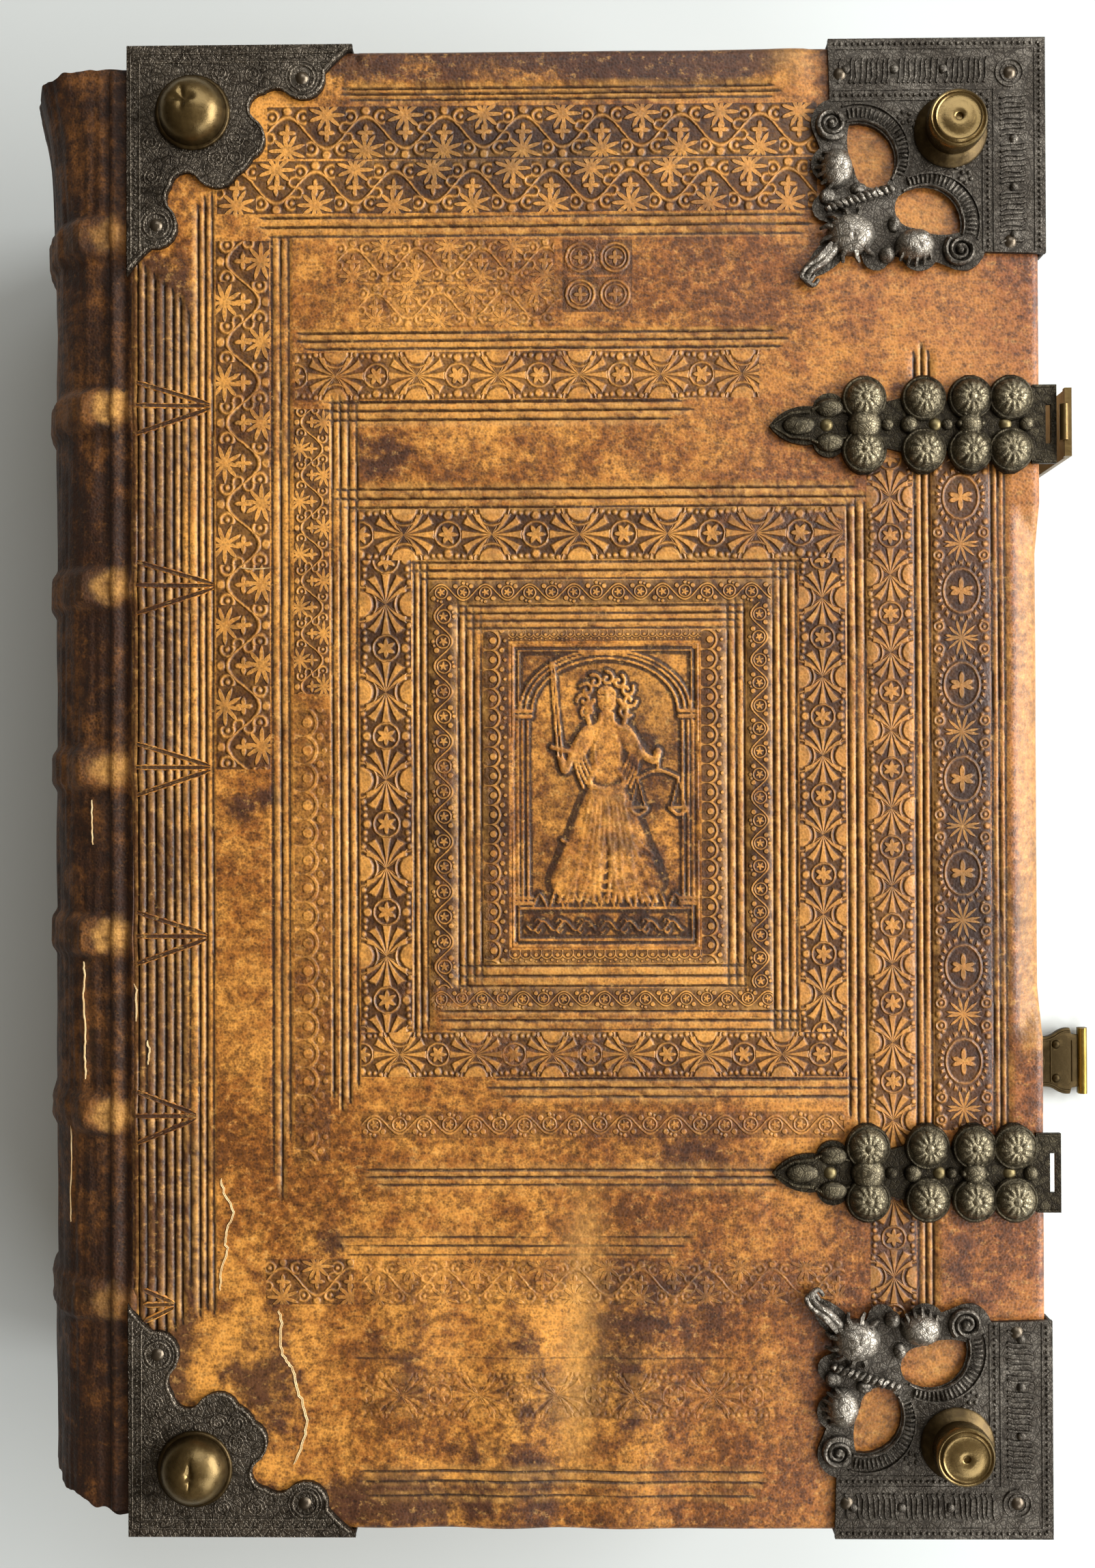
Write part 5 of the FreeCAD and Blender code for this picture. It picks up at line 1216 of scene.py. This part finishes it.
def small_plate(head_side):
    """Thin engraved plate with a scalloped edge, lobed round its nails, edges bent over the boards."""
    bm = bmesh.new()
    outline = scalloped_outline()
    outline = [(60.4, -1.0)] + outline + [(0.15, 60.4), (0.15, -1.0)]
    holes = [circle_points(47.0, 7.9, 0.95), circle_points(7.9, 47.0, 0.95)]
    sheet(bm, outline, holes, 0.0, PLATE_T)
    # The bead along the scalloped edge rises into the paler colour: wear and a painted highlight for the
    # glint of that edge.
    wire(bm, [(x - 0.55, y - 0.55, PLATE_T + 0.02) for x, y in scalloped_outline()[1:-1]], 0.42, flat=0.7)
    for d in (1.2, 3.6):
        wire(bm, [(57 - d, d, PLATE_T), (d, d, PLATE_T), (d, 57 - d, PLATE_T)], 0.3, flat=0.9)
    for k in range(40):
        for x, y in ((3.8 + k * 1.3, 2.4), (2.4, 3.8 + k * 1.3)):
            if x < 55 and y < 55:
                dome(bm, x, y, PLATE_T, 0.38, 0.32, steps=6, rings=2)
    for x, y in ((47.0, 7.9), (7.9, 47.0)):
        wire(bm, [p + (PLATE_T,) for p in circle_points(x, y, 3.3, 28)], 0.35, closed=True, flat=0.8)
        wire(bm, [p + (PLATE_T,) for p in circle_points(x, y, 4.3, 28)], 0.22, closed=True, flat=0.8)
    for x, y in ((25.0, 6.5), (34.0, 6.8), (6.5, 25.0), (6.8, 34.0), (29.0, 24.0), (24.0, 29.0), (29, 29)):
        coil = [(2.6 * (1 - k / 26), k * 0.62) for k in range(24)]
        wire(bm, [(x + r * math.cos(a), y + r * math.sin(a), PLATE_T) for r, a in coil], 0.24, flat=0.8)
    bent_edge(bm, 60.2, 1.1, 30.2, -0.62)
    placed(bm, True, head_side)
    name = "spine_head" if head_side else "spine_tail"
    finish_piece("engraved_plate_" + name, bm, "front_cover", [plate_small],
                 replaces=["front_%s_plate" % name], smooth=40)


def large_outline():
    """Inner edge of a large plate: volute, lobes and tip, the same either side of its diagonal."""
    half = [(55.8, 15.0), (60.4, 19.0, 59.8, 24.4), (58.6, 27.4, 58.4, 28.0), (60.8, 32.0, 58.2, 36.6),
            (57.0, 38.0, 57.4, 40.0), (60.6, 43.6, 57.2, 47.4), (55.4, 49.4, 57.2, 52.4),
            (61.0, 57.0, 62.6, 62.6)]
    points = [(56.2, 0.0)] + [s[-2:] for s in half]
    steps = list(half)
    for k in reversed(range(len(half))):
        mid, end = half[k][:-2], points[k]
        steps.append(tuple(reversed(mid)) + tuple(reversed(end)))
    return arcs((56.2, 0.0), steps)


def large_plate(head_side):
    """Cast plate: pearled borders, worked bands, volutes, ribbed arcs, bulges and a leaf."""
    bm = bmesh.new()
    outline = [(56.2, -1.1)] + large_outline() + [(-1.1, 56.2), (-1.1, -1.1)]
    ear = arcs((50.6, 21.6), [(40.0, 26.4, 40.8, 37.6), (46.0, 38.4, 49.4, 33.6),
                              (51.0, 29.0, 50.6, 21.6)], 10)[:-1]
    holes = [ear, [(y, x) for x, y in ear], circle_points(8.3, 8.3, 0.95), circle_points(53.1, 8.3, 0.95),
             circle_points(8.3, 53.1, 0.95)]
    sheet(bm, outline, holes, 0.0, PLATE_T)
    top = PLATE_T
    for swap in (False, True):
        def at(x, y, z=top):
            return (y, x, z) if swap else (x, y, z)

        for lane in (0.4, 14.0):
            for k in range(34):
                x = 1.0 + k * 1.62
                if x > lane:
                    dome(bm, *at(x, lane), 0.52, 0.55, steps=7, rings=2)
        for lane in (1.7, 12.6, 15.4):
            wire(bm, [at(55.6, lane), at(lane, lane)], 0.24, sides=1)
        for k in range(28):
            x = 14.6 + k * 1.42
            if abs((k % 9) - 8) < 0.5:
                dome(bm, *at(x, 7.2), 1.3, 0.9, steps=10, rings=3)
                continue
            bend = 0.5 * math.sin(k * 1.9)
            wire(bm, [at(x - 0.4, 4.0 + abs(bend)), at(x + bend * 0.5, 5.4), at(x, 9.4),
                      at(x + 0.5 + bend * 0.4, 10.8)], 0.36, flat=1.3, sides=1)
        # ribbed arc round each opening
        arc = arcs((52.6, 17.0), [(38.4, 20.6, 36.2, 35.4)], 34)
        wire(bm, [at(x, y) for x, y in arc], 0.36, flat=1.5, sides=1)
        inner = arcs((51.4, 21.0), [(40.8, 24.0, 39.6, 36.6)], 30)
        wire(bm, [at(x, y) for x, y in inner], 0.42, flat=1.7, sides=2)
        outer = arcs((52.0, 19.2), [(39.6, 22.2, 37.8, 36.0)], 24)
        for k in range(1, 24):
            a, b = Vector(outer[k - 1]), Vector(outer[k + 1])
            n = Vector((-(b - a).y, (b - a).x)).normalized() * 1.25
            x, y = outer[k]
            wire(bm, [at(x - n.x, y - n.y), at(x, y, top + 0.5), at(x + n.x, y + n.y)], 0.38, sides=1)
        # volute
        coil = [(55.4 + 4.1 * (1 - k / 42) ** 0.8 * math.cos(2.4 - k * 0.36),
                 21.6 + 4.1 * (1 - k / 42) ** 0.8 * math.sin(2.4 - k * 0.36)) for k in range(38)]
        wire(bm, [at(x, y, top + 0.2) for x, y in coil], lambda s: 0.85 - 0.4 * s, flat=1.5, sides=2)
        dome(bm, *at(55.4, 21.6), 1.1, 1.9, steps=14)
        # bulges
        for x, y, r, rise, sx, sy in ((54.2, 33.6, 4.3, 4.4, 1.0, 1.25), (56.6, 41.0, 2.2, 2.0, 1, 1),
                                      (48.4, 39.0, 1.7, 1.6, 1.3, 1.0)):
            dome(bm, *at(x, y), r, rise, (sy, sx) if swap else (sx, sy), steps=24, rings=6)
        for k in range(6):
            a = -0.9 + k * 0.42
            wire(bm, [at(53.8 + 3.6 * math.cos(a), 33.6 + 4.4 * math.sin(a), top + 1.8),
                      at(54.4 + 5.4 * math.cos(a), 33.6 + 5.6 * math.sin(a), top + 0.4)],
                 lambda s: 0.7 - 0.3 * s, sides=1)
        # small pierced flowers
        for x, y in ((20.0, 36.0), (32.0, 22.0)):
            for k in range(5):
                a = 2 * math.pi * k / 5 + 0.3
                dome(bm, *at(x + 1.5 * math.cos(a), y + 1.5 * math.sin(a)), 0.7, 0.5, steps=8, rings=2)
    for phase in (0.0, math.pi):
        rope = [(57.0 - 17.5 * k / 40, 44.2 - 5.2 * k / 40 + 0.75 * math.sin(k * 0.9 + phase),
                 top + 0.9 + 0.75 * math.cos(k * 0.9 + phase)) for k in range(41)]
        wire(bm, rope, 0.66, sides=2)
    dome(bm, 50.4, 51.2, top, 5.6, 4.4, (1.15, 1.0), steps=28, rings=7)
    for k in range(9):
        a = -1.9 + k * 0.52
        wire(bm, [(50.4 + 5.2 * math.cos(a), 51.2 + 4.6 * math.sin(a), top + 1.8),
                  (50.4 + 7.0 * math.cos(a), 51.2 + 6.2 * math.sin(a), top + 1.2),
                  (50.4 + 8.4 * math.cos(a + 0.1), 51.2 + 7.4 * math.sin(a + 0.1), top + 0.1)],
             lambda s: 0.85 - 0.4 * s, sides=1)
    for lane in (-0.9, 0.9):
        tip = curve([(55.0, 54.6), (58.4, 58.2), (61.6, 60.4), (63.0, 62.8), (61.0, 64.0), (59.6, 62.4)], 5)
        wire(bm, [(x - lane * 0.6, y + lane * 0.6, top + 0.9 + 0.5 * math.sin(k * 0.2))
                  for k, (x, y) in enumerate(tip)], lambda s: 1.1 - 0.55 * s, sides=2)
    for vert in bm.verts:
        if vert.co.z > top + 0.7 and vert.co.x > 32 and vert.co.y > 20 or vert.co.y > 32 and vert.co.x > 20:
            lumps = noise.noise(vert.co * 0.55) * 0.75 + noise.noise(vert.co * 1.5) * 0.35
            vert.co.z = max(top - 0.2, vert.co.z + lumps * min(1.0, max(0.0, vert.co.z - top) / 1.5))
    # ring with a flower at the corner
    for r, t in ((3.6, 0.4), (2.3, 0.3)):
        wire(bm, [p + (top,) for p in circle_points(8.3, 8.3, r, 28)], t, closed=True, sides=1)
    for sx, sy, tx, ty in ((57.2, 1.1, 27.5, -0.62), (1.1, 57.2, -0.62, 27.5)):
        bent_edge(bm, sx, sy, tx, ty)
    placed(bm, False, head_side)
    name = "fore_head" if head_side else "fore_tail"
    finish_piece("cast_plate_" + name, bm, "front_cover", [plate_large],
                 replaces=["front_%s_plate" % name], smooth=50)


def dome_boss(head_side):
    """Round boss with a rubbed, dented top."""
    bm = bmesh.new()
    t = PLATE_T
    profile = [(0.0, t), (9.9, t), (10.1, t + 0.6), (9.5, t + 1.1), (9.0, t + 1.0)]
    profile += [(8.9 * math.cos(a), t + 0.9 + 6.6 * math.sin(a))
                for a in [math.pi / 2 * k / 14 for k in range(1, 14)]]
    profile.append((0.0, t + 7.5))
    turn(bm, profile, 0, 0, 0, 64)
    for vert in bm.verts:
        r = math.hypot(vert.co.x, vert.co.y)
        if r < 5.5 and vert.co.z > 5:
            if head_side:
                x, y = vert.co.x + 1.4, vert.co.y + 1.2
                cross = min(abs(x), abs(y))
                vert.co.z -= 1.1 * math.exp(-(cross / 0.8) ** 2) * math.exp(-(math.hypot(x, y) / 3.0) ** 4)
            else:
                notch = max(0.0, 1.6 - abs(vert.co.x) - 0.4 * abs(vert.co.y - 1.0))
                vert.co.z -= 1.1 * min(1.0, notch)
    bmesh.ops.translate(bm, vec=(17.9, 17.2, 0), verts=bm.verts)
    placed(bm, True, head_side)
    name = "spine_head" if head_side else "spine_tail"
    finish_piece("dome_" + name, bm, "front_cover", [boss_metal],
                 replaces=["front_%s_boss" % name], smooth=70)


def knob(head_side):
    """Turned boss: flared foot, grooved rim and a centre hole."""
    bm = bmesh.new()
    profile = [(0.0, 0.0), (9.6, 0.0), (9.7, 0.5), (9.2, 1.1), (7.9, 1.5), (7.0, 2.4), (7.1, 3.4),
               (7.6, 4.0), (7.75, 6.0), (7.75, 7.6), (7.5, 8.4), (7.1, 8.8), (6.8, 8.7), (6.6, 8.45),
               (6.35, 8.75), (6.0, 9.1), (5.7, 8.95), (5.5, 8.85), (4.0, 9.3), (2.4, 9.5), (1.3, 9.5),
               (1.0, 9.3), (0.85, 8.4), (0.0, 8.2)]
    turn(bm, profile, 24.0, 24.0, PLATE_T, 64)
    placed(bm, False, head_side)
    name = "fore_head" if head_side else "fore_tail"
    finish_piece("knob_" + name, bm, "front_cover", [boss_metal],
                 replaces=["front_%s_boss" % name], smooth=45)


def catch(upper):
    """Cast catch: leaf, four groups of ringed domes and the slotted end."""
    bm = bmesh.new()
    mid = HEAD - 101.5 if upper else TAIL + 95.0
    half = [(66.0, 4.6, 60.6, 5.0), (57.4, 8.4, 52.6, 6.4), (50.0, 4.6)]
    groups = (47.2, 31.5, 19.2, 8.6)
    steps = list(half)
    for x_in in groups:
        steps += [(x_in + 4.8, 7.4), (x_in, 13.2, x_in - 4.8, 7.4), (x_in - 6.2 if x_in != 8.6 else 3.4, 6.2)]
    steps += [(2.8, 10.4), (-3.6, 10.4)]
    upper_side = arcs((72.2, 0.0), steps)
    lower_side = [(x, -y) for x, y in reversed(upper_side[1:])]
    window = [(-0.7, 5.2), (-0.7, -5.2), (-2.2, -5.2), (-2.2, 5.2)]
    holes = [window] + [circle_points(x, 0, 0.95, 14) for x in (57.0, 28.4, 9.9)]
    sheet(bm, upper_side + lower_side, holes, 0.0, PLATE_T)
    top = PLATE_T
    ringed = [(6.0, 0.0), (5.9, 0.7), (5.5, 1.05), (5.1, 0.95), (4.9, 1.1), (4.4, 1.9), (3.5, 2.6),
              (2.4, 3.0), (1.5, 3.12), (1.3, 3.0), (1.05, 3.05), (0.8, 3.3), (0.0, 3.45)]
    for x_in in groups:
        for side in (-1, 1):
            turn(bm, ringed, x_in, side * 6.9, top, 48)
    dome(bm, 47.2, 0, top, 4.6, 3.0, steps=24)
    wire(bm, [(x, y, top + 0.6) for x, y in circle_points(47.2, 0, 3.6, 24)], 0.35, closed=True, sides=1)
    for x, r, rise in ((35.4, 2.4, 1.8), (19.2, 3.4, 2.4), (4.4, 2.0, 1.5), (41.0, 1.7, 1.0),
                       (25.2, 1.6, 1.0)):
        dome(bm, x, 0, top, r, rise, steps=18)
    for k in range(6):
        a = math.pi * k / 3
        dome(bm, 19.2 + 2.9 * math.cos(a), 2.9 * math.sin(a), top, 1.1, 1.7, steps=8, rings=3)
    for side in (-1, 1):
        dome(bm, 56.2, side * 4.6, top, 2.6, 1.5, (1.5, 1.0), steps=18)
        wire(bm, [(52.0, side * 3.4, top + 0.3), (58.0, side * 5.4, top + 0.6),
                  (61.0, side * 4.0, top + 0.3)], 0.45, sides=1)
        wire(bm, [(71.0, side * 0.5, top), (66.5, side * 3.2, top + 0.2), (61.5, side * 3.6, top + 0.1)],
             lambda s: 0.3 + 0.4 * s, sides=1)
        wire(bm, [(-3.2, side * 9.9, top), (2.4, side * 9.9, top)], 0.3, sides=1)
    dome(bm, 64.4, 0, top, 2.6, 1.3, (1.7, 1.0), steps=18)
    for vert in bm.verts:
        for x_in in groups:
            dx, dy = vert.co.x - x_in, abs(vert.co.y) - 6.9
            away = math.hypot(dx, dy)
            if 1.6 < away < 4.8 and vert.co.z > top + 1.0:
                vert.co.z += 0.30 * math.cos(12 * math.atan2(dy, dx)) * math.sin((away - 1.6) / 3.2 * math.pi)
        vert.co.x = FORE - vert.co.x
        vert.co.y += mid
        vert.co.z += FACE
    name = "upper" if upper else "lower"
    finish_piece(name + "_catch", bm, "front_cover", [catch_metal],
                 replaces=[name + "_catch_plate"], smooth=50)


def open_clasp():
    """Open lower clasp on the table: knuckles, waisted dark plate and the bright bar at its end."""
    bm = bmesh.new()
    half = [(3.0, 7.0), (5.2, 7.2), (9.0, 8.2, 13.0, 10.6), (16.4, 11.0, 19.6, 9.4), (24.0, 8.2, 28.6, 9.6),
            (32.0, 10.9, 33.4, 10.9), (34.0, 8.9), (36.6, 8.6), (36.6, 10.9), (39.6, 10.9)]
    side = arcs((0.0, 7.0), half, 8)
    outline = side + [(x, -y) for x, y in reversed(side)]
    outline[-1] = (0.0, -7.0)
    hole = [(36.2, 7.2), (36.2, -7.2), (38.0, -7.2), (38.0, 7.2)]
    sheet(bm, outline, [hole, circle_points(20.6, 0, 2.2)], 0.0, 1.5)
    wire(bm, [p + (1.5,) for p in circle_points(20.6, 0, 3.4, 28)], 0.5, closed=True, sides=1)
    for side_y in (-1, 1):
        wire(bm, [(x, side_y * (y - 1.1), 1.5) for x, y in arcs((5.2, 7.4), half[2:6], 8)], 0.35, sides=1)
        dome(bm, 28.5, side_y * 5.6, 1.5, 1.5, 0.8, steps=14, rings=3)
        dome(bm, 11.6, side_y * 4.6, 1.5, 1.5, 0.8, steps=14, rings=3)
    for x in (14.6, 26.6, 34.2):
        wire(bm, [(x, -6.8, 1.5), (x, 6.8, 1.5)], 0.3, sides=1)
    bmesh.ops.translate(bm, vec=(1.6, 0, -1.3), verts=bm.verts)
    bmesh.ops.transform(bm, matrix=Matrix.Rotation(CLASP_DROOP, 4, "Y"), verts=bm.verts)
    bmesh.ops.translate(bm, vec=CLASP_PIVOT, verts=bm.verts)
    x, y, z = CLASP_PIVOT
    for low, high in ((-11.0, -7.2), (7.2, 11.0), (-3.4, 3.4)):
        wire(bm, [(x, y + low, z), (x, y + high, z)], 1.85, sides=4)
    finish_piece("open_clasp", bm, "lower_link", [clasp_metal],
                 replaces=["lower_clasp_link"], smooth=40)
    bm = bmesh.new()
    x, z = BARE_BAR
    wire(bm, [(x, y - 10.9, z), (x, y + 10.9, z)], 1.55, sides=5)
    finish_piece("bare_bar", bm, "lower_link", [bright_metal],
                 replaces=["lower_bare_pin"], smooth=40)


front_leather()
tooled_arrows()
cracks()
stamped_panel()
spine_skin()
spine_cracks()
joint_skin(True)
joint_skin(False)
leaves()
for head_side in (True, False):
    small_plate(head_side)
    large_plate(head_side)
    dome_boss(head_side)
    knob(head_side)
catch(True)
catch(False)
open_clasp()

# Finishes of the parts carried over from the frame: part of a name, finish, finish on the back cover
FINISHES = [
    ("spine_leather", leather_spine, leather_spine), ("_leather", leather_back, leather_back),
    ("_board", board_wood, board_wood), ("pastedown", paper_inner, paper_inner),
    ("text_block", paper_edges, paper_edges), ("spine_lining", linen, linen),
    ("sewing_cord", hemp, hemp), ("endband", thread, thread), ("_boss", boss_metal, rest_metal),
    ("catch_plate", catch_metal, catch_metal), ("_plate", plate_large, plate_back),
    ("nails", nail_metal, nail_metal), ("catch_rivets", rivet_metal, rivet_metal),
    ("rivets", bright_metal, bright_metal), ("pin", bright_metal, bright_metal),
    ("", clasp_metal, clasp_metal),
]
for name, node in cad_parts.items():
    below = name.startswith("back")
    finish = next(back if below else front for part, front, back in FINISHES if part in name)
    node.data.materials.clear()
    node.data.materials.append(finish)


# Table, light and camera

def studio():
    """White table that fades into the backdrop, a dim warm room and three soft windows."""
    bm = bmesh.new()
    bmesh.ops.create_grid(bm, x_segments=1, y_segments=1, size=3.0)
    mesh = bpy.data.meshes.new("table")
    bm.to_mesh(mesh)
    bm.free()
    material, tree, shader, place = start_material("matt white table top")
    cloud = put(tree, "ShaderNodeTexNoise", {"Vector": place, "Scale": 6.0, "Detail": 2.0})
    pale = put(tree, "ShaderNodeMix", {"Factor": cloud, "A": linear("#DBE1DF"), "B": linear("#D6DCDA")},
               data_type="RGBA")
    tree.links.new(pale.outputs["Result"], shader.inputs["Base Color"])
    shader.inputs["Roughness"].default_value = 0.9
    far = put(tree, "ShaderNodeVectorMath", {0: place}, operation="LENGTH").outputs["Value"]
    seen = put(tree, "ShaderNodeLightPath").outputs["Is Camera Ray"]
    fade = put(tree, "ShaderNodeMapRange", {0: far, 1: 0.34, 2: 0.95}, interpolation_type="SMOOTHSTEP")
    white = put(tree, "ShaderNodeEmission", {"Color": (1, 1, 1, 1), "Strength": 1.0})
    mixed = put(tree, "ShaderNodeMixShader", {0: ("MULTIPLY", fade, seen), 1: shader, 2: white})
    out = next(n for n in tree.nodes if n.bl_idname == "ShaderNodeOutputMaterial")
    tree.links.new(mixed.outputs[0], out.inputs["Surface"])
    mesh.materials.append(material)
    table = bpy.data.objects.new("table", mesh)
    table.location = (0, 0, -0.0002)
    bpy.context.scene.collection.objects.link(table)

    world = bpy.data.worlds.new("pale room")
    world.use_nodes = True
    tree = world.node_tree
    tree.nodes.clear()
    path = put(tree, "ShaderNodeLightPath")
    way = put(tree, "ShaderNodeSeparateXYZ", {0: put(tree, "ShaderNodeTexCoord").outputs["Generated"]})
    side = put(tree, "ShaderNodeMapRange", {0: way.outputs[0], 1: -0.9, 2: 0.9, 3: 0.07, 4: 0.52})
    room = put(tree, "ShaderNodeBackground", {"Color": linear("#EBD9C0"), "Strength": side})
    white = put(tree, "ShaderNodeBackground", {"Color": (1, 1, 1, 1), "Strength": 1.0})
    seen = put(tree, "ShaderNodeMixShader", {0: path.outputs["Is Camera Ray"], 1: room, 2: white})
    put(tree, "ShaderNodeOutputWorld", {"Surface": seen})
    bpy.context.scene.world = world

    def lamp(name, place, target, width, height, power, colour):
        data = bpy.data.lights.new(name, "AREA")
        data.shape = "RECTANGLE"
        data.size, data.size_y = width, height
        data.energy = power
        data.color = linear(colour)[:3]
        light = bpy.data.objects.new(name, data)
        light.location = place
        light.rotation_euler = (Vector(target) - Vector(place)).to_track_quat("-Z", "Y").to_euler()
        bpy.context.scene.collection.objects.link(light)

    lamp("window", (1.75, 0.15, 1.0), (0, 0, 0.08), 2.0, 0.9, 74.0, "#FBFCFF")
    lamp("upper window", (0.4, 1.2, 1.4), (0, 0, 0.1), 1.2, 1.0, 11.0, "#F4F8FF")
    lamp("lower window", (0.55, -0.75, 0.7), (0.1, -0.15, 0.1), 0.6, 0.5, 3.6, "#F4F8FF")


def camera():
    """Straight down over the front cover, a little to the fore-edge side."""
    data = bpy.data.cameras.new("camera")
    data.sensor_width = 36.0
    data.lens = 33.26
    cam = bpy.data.objects.new("camera", data)
    cam.location = (-0.0166, -0.0020, 0.4875)
    cam.rotation_euler = (math.radians(0.42), math.radians(0.69), math.radians(-0.20))
    data.clip_start, data.clip_end = 0.01, 10
    bpy.context.scene.collection.objects.link(cam)
    bpy.context.scene.camera = cam
    bpy.context.scene.view_settings.view_transform = "Standard"


studio()
camera()
